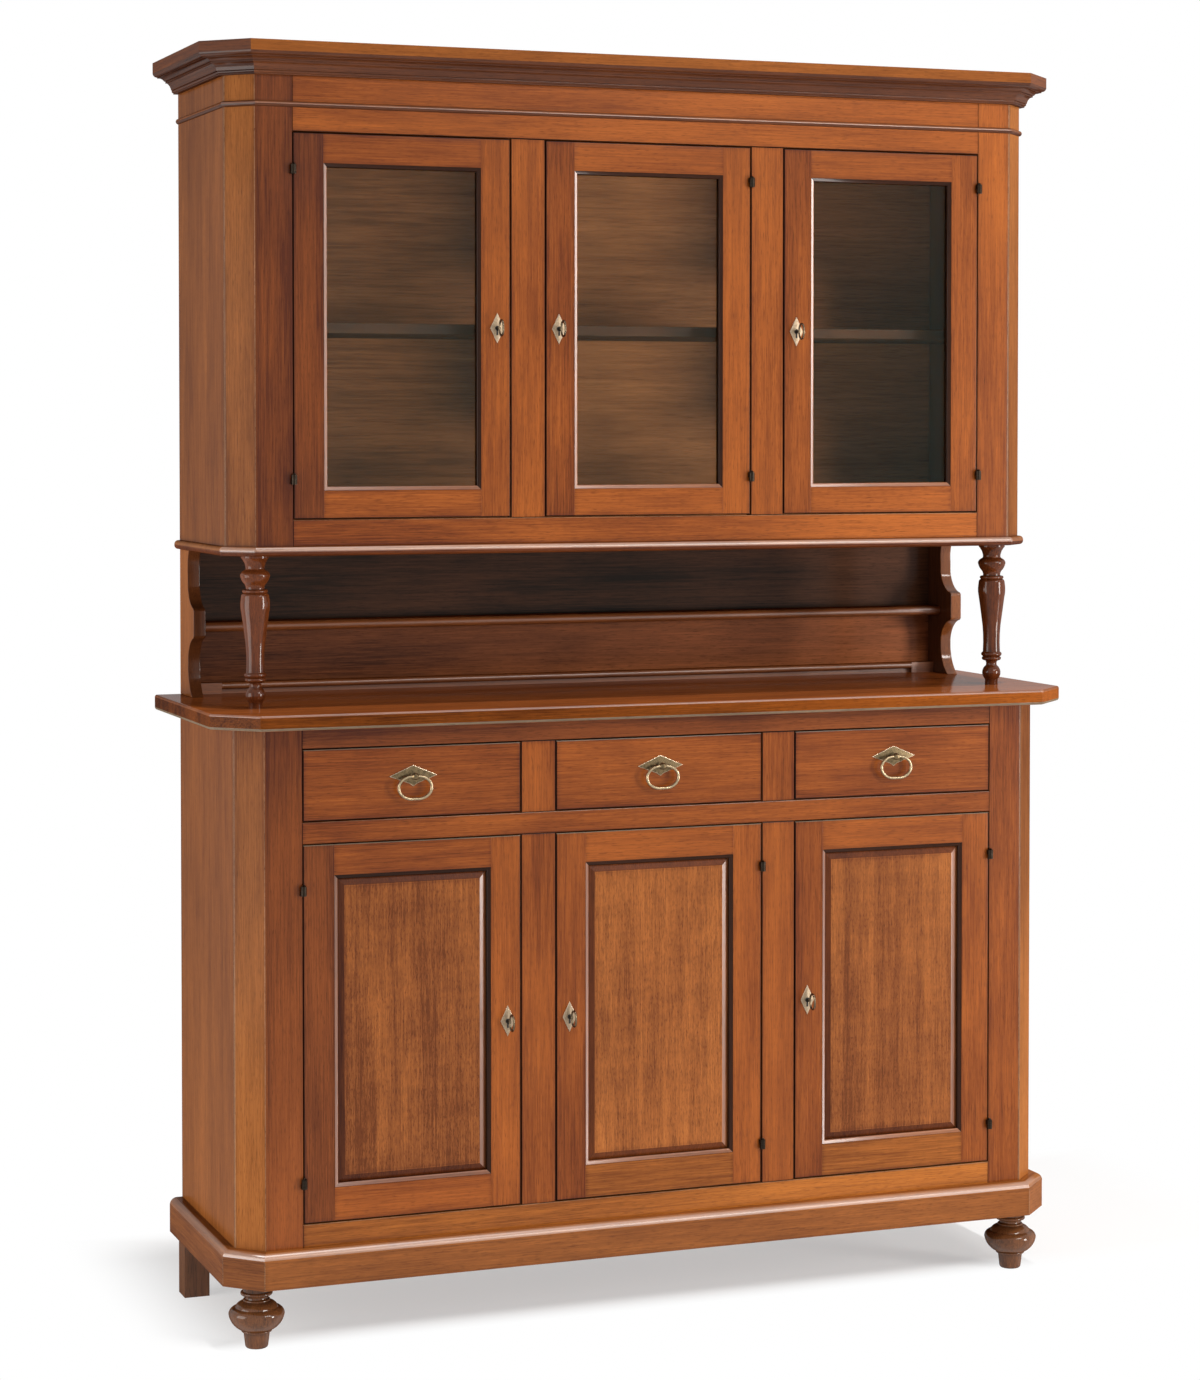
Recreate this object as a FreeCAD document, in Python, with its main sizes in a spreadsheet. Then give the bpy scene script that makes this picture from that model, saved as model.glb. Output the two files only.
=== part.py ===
"""Dresser with hutch: a base with three doors and three drawers, an open plate rack on
turned columns, and a glazed cabinet with three doors above it. Millimetres, +Z up, the front
faces -Y, and the origin is on the floor under the middle of the tabletop."""
import FreeCAD
import Part
import os
import re
import Sketcher

# Driving sizes, one spreadsheet cell each
SIZES = {
    # plan of the two carcasses
    "carcass_width": 1510,
    "base_depth": 424,
    "hutch_depth": 372,
    "chamfer_leg": 44,
    "board_thickness": 22,
    "back_thickness": 6,
    # levels of the base, from the floor up
    "foot_height": 111,
    "bottom_rail_height": 100,
    "base_door_height": 643,
    "drawer_rail_height": 37,
    "drawer_opening_height": 123.5,
    "top_rail_height": 36,
    "top_thickness": 27,
    # levels of the rack and the hutch
    "rack_height": 259.5,
    "floor_thickness": 16,
    "hutch_rail_height": 45,
    "hutch_door_height": 655,
    "frieze_height": 147,
    # bays of the front
    "bay_width": 390,
    "mullion_width": 62.5,
    # tabletop and hutch floor
    "top_overhang_side": 46.5,
    "top_overhang_front": 51,
    "top_chamfer_leg": 71,
    "top_edge_radius": 4,
    "top_lower_bevel": 5,
    "floor_projection": 10,
    "floor_edge_radius": 7.5,
    # plinth, frieze bead and cornice
    "plinth_height": 61,
    "plinth_projection": 23,
    "plinth_edge_radius": 13,
    "bead_height": 10,
    "bead_projection": 5,
    "bead_rise": 40,
    "cornice_height": 54,
    "cornice_projection": 46,
    "cap_thickness": 12,
    # feet
    "foot_diameter": 95,
    "foot_inset_side": 38,
    "foot_inset_front": 45,
    "rear_leg_size": 45,
    "rear_leg_overhang": 6.5,
    "corner_block_size": 76,
    # inner boards of the carcasses
    "inner_board_thickness": 18,
    "floor_drop": 6,
    "base_shelf_rise": 330,
    "hutch_shelf_rise": 363,
    "shelf_setback": 50,
    "ceiling_rise": 12,
    # rack
    "column_diameter": 51,
    "column_inset_side": 53,
    "column_inset_front": 46,
    "bracket_thickness": 22,
    "bracket_reach": 102,
    "plate_shelf_rise": 113,
    "plate_shelf_thickness": 17,
    "plate_shelf_depth": 55,
    "plate_shelf_nose": 7,
    "strip_height": 20,
    "strip_depth": 22,
    "strip_end_length": 47,
    "strip_foot_height": 8,
    "strip_foot_recess": 10,
    # doors
    "door_thickness": 22,
    "door_gap": 1.5,
    "base_stile_width": 54,
    "base_door_top_rail": 54,
    "base_door_bottom_rail": 59,
    "hutch_stile_width": 53,
    "hutch_door_top_rail": 52,
    "hutch_door_bottom_rail": 49,
    "panel_recess": 5,
    "panel_bevel_width": 19,
    "panel_bevel_depth": 6,
    "panel_rim_thickness": 6,
    "glass_recess": 9,
    "glass_thickness": 4,
    # hinges
    "base_hinge_top_distance": 78,
    "base_hinge_bottom_distance": 70,
    "hutch_hinge_top_distance": 64,
    "hutch_hinge_bottom_distance": 68,
    "hinge_diameter": 10,
    "hinge_half_height": 8,
    "hinge_pin_diameter": 5,
    "hinge_pin_height": 6.5,
    "hinge_stand_off": 0.3,
    "hinge_lug_gap": 1.2,
    "running_clearance": 0.05,
    # locks
    "lock_backset": 25.5,
    "lock_edge_inset": 5,
    "lock_width": 34,
    "lock_height": 50,
    "lock_depth": 14,
    "lock_wall": 2,
    "escutcheon_height": 53.5,
    "escutcheon_width": 26,
    "escutcheon_thickness": 2,
    "keyhole_diameter": 7,
    "key_diameter": 5,
    "key_shank_length": 11,
    "key_bow_width": 27,
    "key_bow_length": 20,
    "key_bow_wire": 3.6,
    "key_bow_seat": 4,
    "key_bit_reach": 7,
    "key_bit_height": 3,
    "key_bit_inset": 3,
    "bolt_rise": 9,
    "bolt_height": 9,
    "bolt_thickness": 5,
    "bolt_length": 22,
    "bolt_clearance": 0.2,
    # drawers
    "drawer_gap": 1.5,
    "drawer_front_thickness": 20,
    "drawer_side_thickness": 12,
    "drawer_side_height": 96,
    "drawer_bottom_thickness": 6,
    "drawer_bottom_rise": 10,
    "drawer_back_clearance": 20,
    "runner_ledge": 24,
    "runner_height": 22,
    "runner_clearance": 0.3,
    "guide_thickness": 20,
    "guide_height": 40,
    # drawer pulls
    "pull_rise": 10,
    "pull_plate_width": 86,
    "pull_plate_height": 36.5,
    "pull_plate_thickness": 4,
    "pull_post_diameter": 11,
    "pull_post_reach": 14,
    "pull_axis_reach": 8.5,
    "ring_width": 58.5,
    "ring_height": 38.5,
    "ring_wire": 4.5,
    "ring_pin_length": 12,
    # overrun of every cut
    "cut_overrun": 10,
}

# Turned foot from the floor up: shares of its height and diameter, then the swell of the
# arc to the next point as a share of its chord (negative for a hollow)
FOOT_SHARES = [
    (0.00, 0.36, 0.10),
    (0.03, 0.41),
    (0.24, 0.47),
    (0.245, 0.53, 0.25),
    (0.275, 0.54),
    (0.28, 0.58, 0.13),
    (0.52, 1.00, 0.15),
    (0.615, 0.82),
    (0.62, 0.77, 0.12),
    (0.705, 0.53),
    (0.71, 0.47, 0.35),
    (0.745, 0.45),
    (0.75, 0.40, -0.15),
    (0.80, 0.41),
    (0.805, 0.52, 0.35),
    (0.86, 0.54),
    (0.865, 0.50),
    (1.00, 0.50),
]

# Turned column from the tabletop up, in the same terms
COLUMN_SHARES = [
    (0.000, 0.46),
    (0.035, 0.46),
    (0.040, 0.49, 0.22),
    (0.137, 0.40, -0.10),
    (0.168, 0.42),
    (0.174, 0.60, 0.35),
    (0.200, 0.60),
    (0.204, 0.66, 0.32),
    (0.232, 0.64),
    (0.236, 0.62, -0.02),
    (0.420, 0.65),
    (0.620, 0.92, 0.05),
    (0.730, 0.94, 0.16),
    (0.754, 0.78),
    (0.757, 0.81, 0.32),
    (0.777, 0.77),
    (0.780, 0.62, -0.08),
    (0.812, 0.70, 0.08),
    (0.870, 1.00, 0.14),
    (0.903, 0.70, -0.08),
    (0.916, 0.63, -0.10),
    (0.985, 0.94),
    (1.000, 0.94),
]

# Front edge of a rack bracket from the tabletop up: shares of the reach and of the rack height
BRACKET_SHARES = [
    (0.86, 0.00, -0.12),
    (0.58, 0.20),
    (0.58, 0.26, -0.16),
    (0.96, 0.405),
    (1.00, 0.42),
    (1.00, 0.595),
    (0.96, 0.61, -0.16),
    (0.57, 0.755),
    (0.57, 0.83, -0.10),
    (0.66, 1.00),
]

# Cornice section: shares of its projection and of its height, from the lower inner corner
CORNICE_SHARES = [
    (0.00, 0.00),
    (0.19, 0.00),
    (0.19, 0.04, 0.30),
    (0.24, 0.13),
    (0.28, 0.13, -0.12),
    (0.44, 0.35),
    (0.50, 0.35),
    (0.50, 0.41),
    (0.55, 0.41, -0.16),
    (0.78, 0.50),
    (0.82, 0.50),
    (0.82, 0.53, 0.20),
    (1.00, 0.66),
    (1.00, 1.00),
    (0.00, 1.00),
]

# Outline of a pull plate: shares of its width and height from its middle
PULL_PLATE_SHARES = [
    (0.00, -0.50),
    (0.08, -0.36, -0.05),
    (0.50, 0.00, -0.05),
    (0.00, 0.50, -0.05),
    (-0.50, 0.00, -0.05),
    (-0.08, -0.36),
]

# Swell of an almost round nose, as a share of its chord
ROUND_NOSE_SHARE = 0.45
# Swell of a quarter circle and of an eighth of one, as shares of their chords
QUARTER_ROUND_SHARE = 0.2071
EIGHTH_ROUND_SHARE = 0.09946

doc = FreeCAD.newDocument("dresser_with_hutch")
sheet = doc.addObject("Spreadsheet::Sheet", "Sizes")
for row, (alias, number) in enumerate(SIZES.items(), start=1):
    sheet.set(f"A{row}", alias)
    sheet.set(f"B{row}", str(number))
    sheet.setAlias(f"B{row}", alias)
doc.recompute()

# Places worked out from the sizes, as formulas
SIDE = "carcass_width / 2"
BACK = "(base_depth + top_overhang_front) / 2"
BASE_FRONT = f"({BACK} - base_depth)"
HUTCH_FRONT = f"({BACK} - hutch_depth)"
INNER_SIDE = f"({SIDE} - board_thickness)"
INNER_BACK = f"({BACK} - back_thickness)"
OPENING = "(bay_width * 1.5 + mullion_width)"
BAY_STEP = "(bay_width + mullion_width)"
MULLION = "((bay_width + mullion_width) / 2)"

BASE_DOOR_LOW = "(foot_height + bottom_rail_height)"
BASE_DOOR_HIGH = f"({BASE_DOOR_LOW} + base_door_height)"
DRAWER_LOW = f"({BASE_DOOR_HIGH} + drawer_rail_height)"
DRAWER_HIGH = f"({DRAWER_LOW} + drawer_opening_height)"
BASE_HIGH = f"({DRAWER_HIGH} + top_rail_height)"
TOP_HIGH = f"({BASE_HIGH} + top_thickness)"
RACK_HIGH = f"({TOP_HIGH} + rack_height)"
HUTCH_LOW = f"({RACK_HIGH} + floor_thickness)"
HUTCH_DOOR_LOW = f"({HUTCH_LOW} + hutch_rail_height)"
HUTCH_DOOR_HIGH = f"({HUTCH_DOOR_LOW} + hutch_door_height)"
OVERALL_HIGH = f"({HUTCH_DOOR_HIGH} + frieze_height)"
HUTCH_HIGH = f"({OVERALL_HIGH} - cap_thickness)"
CUPBOARD_FLOOR = f"({BASE_DOOR_LOW} - floor_drop)"

# Tangent of half the 45-degree corner, by which a mitre moves along a face
MITRE = "(sqrt(2) - 1)"

NAMES = re.compile(r"[A-Za-z_]\w*")
sub_parts = []


def tied(formula):
    """The formula with every size name pointed at its cell."""
    def point_at(match):
        word = match.group()
        return f"Sizes.{word}" if word in SIZES else word

    return NAMES.sub(point_at, formula)


def value(formula):
    """Present value of a formula."""
    return float(sheet.evalExpression(tied(formula)))


def place(piece, x, y, z):
    """Bind the piece's position to three formulas."""
    for axis, formula in zip("xyz", (x, y, z)):
        piece.setExpression(f"Placement.Base.{axis}", tied(formula))


def sub_part(name, *pieces):
    """One node: a single solid, or several separate solids kept together."""
    group = pieces[0]
    if len(pieces) > 1:
        group = doc.addObject("Part::Compound", name)
        group.Links = list(pieces)
    group.Label = name
    sub_parts.append(group)


def board(name, x, y, z):
    """Square-edged board between a low and a high formula along each axis."""
    piece = doc.addObject("Part::Box", name)
    for size, axis, (low, high) in zip(("Length", "Width", "Height"), "xyz", (x, y, z)):
        piece.setExpression(size, tied(f"({high}) - ({low})"))
        piece.setExpression(f"Placement.Base.{axis}", tied(low))
    return piece


def rod(name, diameter, x, y, z, length, axis):
    """Round rod from a point along +X, +Y or +Z."""
    turns = {"x": FreeCAD.Rotation(0, 90, 0), "y": FreeCAD.Rotation(0, 0, -90), "z": FreeCAD.Rotation()}
    piece = doc.addObject("Part::Cylinder", name)
    piece.setExpression("Radius", tied(f"({diameter}) / 2"))
    piece.setExpression("Height", tied(length))
    piece.Placement = FreeCAD.Placement(FreeCAD.Vector(), turns[axis])
    place(piece, x, y, z)
    return piece


def joined(name, base, tool):
    """Two shapes made one."""
    piece = doc.addObject("Part::Fuse", name)
    piece.Base = base
    piece.Tool = tool
    piece.Refine = True
    return piece


def cut(name, base, *tools):
    """A shape with other shapes taken out of it."""
    for count, tool in enumerate(tools, start=1):
        piece = doc.addObject("Part::Cut", f"{name}_cut_{count}")
        piece.Base = base
        piece.Tool = tool
        base = piece
    return base


def shared(name, base, tool):
    """What two shapes have in common."""
    piece = doc.addObject("Part::Common", name)
    piece.Base = base
    piece.Tool = tool
    return piece


def mirrored(piece):
    """The same piece on the other side of the middle."""
    copy = doc.addObject("Part::Mirroring", f"{piece.Name}_right")
    copy.Source = piece
    copy.Normal = FreeCAD.Vector(1, 0, 0)
    return copy


def pair(piece):
    """A left piece and its mirror image."""
    return [piece, mirrored(piece)]


def sketch_on(body, name, plane, level="0"):
    """Empty sketch on one of the body's origin planes, lifted to a level."""
    sketch = body.newObject("Sketcher::SketchObject", name)
    support = next(feature for feature in body.Origin.OriginFeatures if feature.Role == plane)
    sketch.AttachmentSupport = [(support, "")]
    sketch.MapMode = "FlatFace"
    sketch.setExpression("AttachmentOffset.Base.z", tied(level))
    return sketch


def arc_between(here, there, share):
    """Arc over a chord, and its radius over the chord; a positive share swells to the right."""
    chord = there - here
    ratio = 1 / (8 * share) + share / 2
    outward = FreeCAD.Vector(chord.y, -chord.x, 0)
    middle = (here + there) / 2 + outward * (share - ratio)
    first, last = (here, there) if share > 0 else (there, here)
    start = (first - middle).getAngle(FreeCAD.Vector(1, 0, 0))
    end = (last - middle).getAngle(FreeCAD.Vector(1, 0, 0))
    start = start if first.y >= middle.y else -start
    end = end if last.y >= middle.y else -end
    circle = Part.Circle(middle, FreeCAD.Vector(0, 0, 1), abs(ratio) * chord.Length)
    return Part.ArcOfCircle(circle, start, end), abs(ratio)


def draw(sketch, corners):
    """Closed outline through (across, up) or (across, up, swell share) corners, counter-clockwise."""
    spots = [FreeCAD.Vector(value(corner[0]), value(corner[1]), 0) for corner in corners]
    ends = []
    ratios = []
    for index, corner in enumerate(corners):
        here = spots[index]
        there = spots[(index + 1) % len(spots)]
        if len(corner) == 3:
            curve, ratio = arc_between(here, there, corner[2])
            ends.append((1, 2) if corner[2] > 0 else (2, 1))
            ratios.append(ratio)
        else:
            curve = Part.LineSegment(here, there)
            ends.append((1, 2))
            ratios.append(0)
        sketch.addGeometry(curve)
    for index, corner in enumerate(corners):
        after = (index + 1) % len(corners)
        start, end = ends[index]
        sketch.addConstraint(Sketcher.Constraint("Coincident", index, end, after, ends[after][0]))
        for kind, formula, spot in zip(("DistanceX", "DistanceY"), corner, spots[index]):
            number = sketch.addConstraint(Sketcher.Constraint(kind, index, start, spot))
            sketch.setExpression(f"Constraints[{number}]", tied(formula))
        if ratios[index]:
            across = f"({corners[after][0]}) - ({corner[0]})"
            rise = f"({corners[after][1]}) - ({corner[1]})"
            radius = f"{ratios[index]} * sqrt(({across}) ^ 2 + ({rise}) ^ 2)"
            number = sketch.addConstraint(Sketcher.Constraint("Radius", index, value(radius)))
            sketch.setExpression(f"Constraints[{number}]", tied(radius))


def padded(name, plane, corners, low, high):
    """Outline padded along its plane's normal from one level to another."""
    body = doc.addObject("PartDesign::Body", name)
    sketch = sketch_on(body, f"{name}_outline", plane, low)
    draw(sketch, corners)
    pad = body.newObject("PartDesign::Pad", f"{name}_pad")
    pad.Profile = sketch
    pad.setExpression("Length", tied(f"({high}) - ({low})"))
    body.Tip = pad
    return body


def turned(name, height, diameter, shares):
    """Lathe-turned piece on the Z axis from a table of shares."""
    corners = [("0", "0")]
    for up, across, *swell in shares:
        corners.append((f"{across} * {diameter} / 2", f"{up} * ({height})", *swell))
    corners.append(("0", height))
    body = doc.addObject("PartDesign::Body", name)
    sketch = sketch_on(body, f"{name}_half_section", "XZ_Plane")
    draw(sketch, corners)
    lathe = body.newObject("PartDesign::Revolution", f"{name}_revolution")
    lathe.Profile = sketch
    lathe.ReferenceAxis = (sketch, ["V_Axis"])
    lathe.Angle = 360
    body.Tip = lathe
    return body


def side_corner(front, offset):
    """Left rear corner of the chamfer, the outline moved outwards by an offset."""
    return (f"-({SIDE} + {offset})", f"{front} + chamfer_leg - ({offset}) * {MITRE}")


def front_corner(front, offset, hand=-1):
    """Front corner of the chamfer, the outline moved outwards by an offset."""
    return (f"{hand} * ({SIDE} - chamfer_leg + ({offset}) * {MITRE})", f"{front} - ({offset})")


def mitred_plan(run, front, inner, outer):
    """Plan of one mitred length of the outline between two offsets."""
    if run == "side":
        rear = [(f"-({SIDE} + {outer})", BACK)]
        rear_inner = [(f"-({SIDE} + {inner})", BACK)]
        return rear + [side_corner(front, outer), side_corner(front, inner)] + rear_inner
    if run == "corner":
        outer_edge = [side_corner(front, outer), front_corner(front, outer)]
        return outer_edge + [front_corner(front, inner), side_corner(front, inner)]
    if run == "stile":
        edge = [(f"-{OPENING}", f"{front} - ({outer})"), (f"-{OPENING}", f"{front} - ({inner})")]
        return [front_corner(front, outer)] + edge + [front_corner(front, inner)]
    outer_edge = [front_corner(front, outer), front_corner(front, outer, 1)]
    return outer_edge + [front_corner(front, inner, 1), front_corner(front, inner)]


def whole_plan(front, offset, rear):
    """Plan of a board that fills the outline moved by an offset, back to a rear edge."""
    left = [(f"-({SIDE} + {offset})", rear), side_corner(front, offset), front_corner(front, offset)]
    return left + [(f"-({x})", y) for x, y in reversed(left)]


def moulding(name, front, low, high, projection, section):
    """Five mitred lengths of one section round the sides, chamfers and front."""
    runs = {
        "side": (90, f"-({SIDE})", f"({BACK} + {front}) / 2", f"{BACK} - {front} + 2 * {projection}"),
        "corner": (135, f"-({SIDE} - chamfer_leg / 2)", f"{front} + chamfer_leg / 2",
                   f"2 * (chamfer_leg + {projection})"),
        "front": (180, "0", front, f"2 * ({SIDE} + {projection})"),
    }
    pieces = []
    for run, (turn, x, y, length) in runs.items():
        bar = padded(f"{name}_{run}_bar", "YZ_Plane", section, f"-({length}) / 2", f"({length}) / 2")
        bar.Placement = FreeCAD.Placement(FreeCAD.Vector(), FreeCAD.Rotation(turn, 0, 0))
        place(bar, x, y, low)
        mitre = padded(f"{name}_{run}_mitre", "XY_Plane", mitred_plan(run, front, "0", projection), low, high)
        length_of_moulding = shared(f"{name}_{run}", bar, mitre)
        pieces += [length_of_moulding] if run == "front" else pair(length_of_moulding)
    return pieces


def rounded(body, radius, upper_only=False, bevel=None):
    """Round the sides, chamfers and front of a padded slab, and bevel its lower edge if asked."""
    doc.recompute()
    pad = body.Tip
    box = pad.Shape.BoundBox

    def edges_at(shape, level):
        names = []
        for number, edge in enumerate(shape.Edges, start=1):
            flat = max(abs(edge.BoundBox.ZMin - level), edge.BoundBox.ZLength) < edge.Tolerance
            at_back = edge.BoundBox.YMin > box.YMax - edge.Tolerance
            if flat and not at_back:
                names.append(f"Edge{number}")
        return names

    chosen = edges_at(pad.Shape, box.ZMax)
    if not upper_only:
        chosen += edges_at(pad.Shape, box.ZMin)
    fillet = body.newObject("PartDesign::Fillet", f"{body.Name}_rounding")
    fillet.Base = (pad, chosen)
    fillet.setExpression("Radius", tied(radius))
    body.Tip = fillet
    if bevel:
        doc.recompute()
        chamfer = body.newObject("PartDesign::Chamfer", f"{body.Name}_bevel")
        chamfer.Base = (fillet, edges_at(fillet.Shape, box.ZMin))
        chamfer.setExpression("Size", tied(bevel))
        body.Tip = chamfer
    return body


def across(centre, side, near, far):
    """X span measured from a bay's centre towards one side."""
    if side > 0:
        return (f"{centre} + ({near})", f"{centre} + ({far})")
    return (f"{centre} - ({far})", f"{centre} - ({near})")


def carcass(unit, front, low, high):
    """Side boards and two-board corner posts of one unit."""
    boards = {}
    for run in ("side", "corner", "stile"):
        plan = mitred_plan(run, front, "-board_thickness", "0")
        boards[run] = padded(f"{unit}_{run}", "XY_Plane", plan, low, high)
    sub_part(f"{unit}_sides", *pair(boards["side"]))
    sub_part(f"{unit}_corner_posts", *pair(boards["corner"]), *pair(boards["stile"]))


def frame_rail(name, front, low, high):
    """Rail of the face frame, from post to post."""
    return board(name, (f"-{OPENING}", OPENING), (front, f"{front} + board_thickness"), (low, high))


def mullion(name, front, low, high):
    """Left upright of the face frame between two bays."""
    x = (f"-{MULLION} - mullion_width / 2", f"-{MULLION} + mullion_width / 2")
    return board(name, x, (front, f"{front} + board_thickness"), (low, high))


def feet():
    """Two turned front feet and two square rear legs."""
    foot = turned("front_foot", "foot_height", "foot_diameter", FOOT_SHARES)
    place(foot, f"-({SIDE} - foot_inset_side)", f"{BASE_FRONT} + foot_inset_front", "0")
    leg_outside = f"({SIDE} + rear_leg_overhang)"
    leg = board("rear_leg", (f"-{leg_outside}", f"-{leg_outside} + rear_leg_size"),
                (f"{BACK} - rear_leg_size", BACK), ("0", "foot_height"))
    sub_part("feet", *pair(foot), *pair(leg))


def plinth():
    """Rounded plinth board round the bottom of the base, and the glue blocks behind it."""
    square = "plinth_height - plinth_edge_radius"
    section = [
        ("0", "0"),
        ("plinth_projection", "0"),
        ("plinth_projection", square, QUARTER_ROUND_SHARE),
        ("plinth_projection - plinth_edge_radius", "plinth_height"),
        ("0", "plinth_height"),
    ]
    high = "foot_height + plinth_height"
    runs = moulding("plinth", BASE_FRONT, "foot_height", high, "plinth_projection", section)
    block_rear = f"{BASE_FRONT} + board_thickness + corner_block_size"
    block_plan = [
        (f"-{INNER_SIDE}", block_rear),
        side_corner(BASE_FRONT, "-board_thickness"),
        front_corner(BASE_FRONT, "-board_thickness"),
        (f"-({INNER_SIDE} - corner_block_size)", f"{BASE_FRONT} + board_thickness"),
        (f"-({INNER_SIDE} - corner_block_size)", block_rear),
    ]
    block_high = f"{CUPBOARD_FLOOR} - inner_board_thickness"
    front_block = padded("front_block", "XY_Plane", block_plan, "foot_height", block_high)
    rear_block = board("rear_block", (f"-{INNER_SIDE}", f"-({INNER_SIDE} - corner_block_size)"),
                       (f"{INNER_BACK} - corner_block_size", INNER_BACK), ("foot_height", block_high))
    sub_part("plinth", *runs, *pair(front_block), *pair(rear_block))


def base_boards():
    """Face frame, inner boards, back, shelves and drawer runners of the base."""
    rails = [
        frame_rail("base_bottom_rail", BASE_FRONT, "foot_height", BASE_DOOR_LOW),
        frame_rail("base_drawer_rail", BASE_FRONT, BASE_DOOR_HIGH, DRAWER_LOW),
        frame_rail("base_top_rail", BASE_FRONT, DRAWER_HIGH, BASE_HIGH),
    ]
    uprights = pair(mullion("base_mullion", BASE_FRONT, BASE_DOOR_LOW, BASE_DOOR_HIGH))
    uprights += pair(mullion("drawer_muntin", BASE_FRONT, DRAWER_LOW, DRAWER_HIGH))
    sub_part("base_face_frame", *rails, *uprights)

    behind_frame = f"{BASE_FRONT} + board_thickness"
    floor = padded("base_floor_board", "XY_Plane", whole_plan(BASE_FRONT, "-board_thickness", INNER_BACK),
                   f"{CUPBOARD_FLOOR} - inner_board_thickness", CUPBOARD_FLOOR)
    half = "inner_board_thickness / 2"
    partition = board("base_partition", (f"-{MULLION} - {half}", f"-{MULLION} + {half}"),
                      (behind_frame, INNER_BACK), (CUPBOARD_FLOOR, BASE_HIGH))
    sub_part("base_inner_boards", floor, *pair(partition))
    sub_part("base_back_panel", board("base_back_panel", (f"-{INNER_SIDE}", INNER_SIDE), (INNER_BACK, BACK),
                                      ("foot_height", BASE_HIGH)))

    shelf_y = (f"{behind_frame} + shelf_setback", INNER_BACK)
    shelf_low = f"{CUPBOARD_FLOOR} + base_shelf_rise"
    shelf_z = (shelf_low, f"{shelf_low} + inner_board_thickness")
    outer_shelf = board("base_outer_shelf", (f"-{INNER_SIDE}", f"-{MULLION} - {half}"), shelf_y, shelf_z)
    middle_x = (f"-{MULLION} + {half}", f"{MULLION} - {half}")
    middle_shelf = board("base_middle_shelf", middle_x, shelf_y, shelf_z)
    hutch_shelf_low = f"{HUTCH_LOW} + hutch_shelf_rise"
    hutch_shelf = board("hutch_shelf", (f"-{INNER_SIDE}", INNER_SIDE),
                        (f"{HUTCH_FRONT} + board_thickness + shelf_setback", INNER_BACK),
                        (hutch_shelf_low, f"{hutch_shelf_low} + inner_board_thickness"))
    sub_part("inner_shelves", *pair(outer_shelf), middle_shelf, hutch_shelf)

    runner_y = (f"{behind_frame} + chamfer_leg", INNER_BACK)
    runner_high = f"{DRAWER_LOW} + drawer_gap - runner_clearance"
    runner_z = (f"{runner_high} - runner_height", runner_high)
    guide_z = (runner_high, f"{runner_high} + guide_height")
    half_bay = "bay_width / 2"
    runners = []
    # Wall that carries each runner, edge of its bay, inner edge of its ledge, far face of its guide
    partition_left = f"-{MULLION} - {half}"
    partition_right = f"-{MULLION} + {half}"
    left_bay_edge = f"-{BAY_STEP} + {half_bay}"
    places = {
        "outer": (f"-{INNER_SIDE}", f"-{OPENING}", f"-{OPENING} + runner_ledge",
                  f"-{OPENING} - guide_thickness"),
        "inner": (partition_left, left_bay_edge, f"{left_bay_edge} - runner_ledge", partition_left),
        "middle": (partition_right, f"-{half_bay}", f"-{half_bay} + runner_ledge", partition_right),
    }
    for name, (wall, edge, ledge, guide) in places.items():
        runner_x = (ledge, wall) if name == "inner" else (wall, ledge)
        guide_x = (edge, guide) if name == "inner" else (guide, edge)
        runners += pair(board(f"{name}_runner", runner_x, runner_y, runner_z))
        runners += pair(board(f"{name}_guide", guide_x, runner_y, guide_z))
    sub_part("drawer_runners", *runners)


def tabletop():
    """Top of the base with chamfered corners, rounded above and bevelled below."""
    half_width = f"({SIDE} + top_overhang_side)"
    front = f"({BASE_FRONT} - top_overhang_front)"
    left = [
        (f"-{half_width}", BACK),
        (f"-{half_width}", f"{front} + top_chamfer_leg"),
        (f"-({half_width} - top_chamfer_leg)", front),
    ]
    plan = left + [(f"-({x})", y) for x, y in reversed(left)]
    slab = padded("base_top", "XY_Plane", plan, BASE_HIGH, TOP_HIGH)
    sub_part("base_top", rounded(slab, "top_edge_radius", upper_only=True, bevel="top_lower_bevel"))


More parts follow.
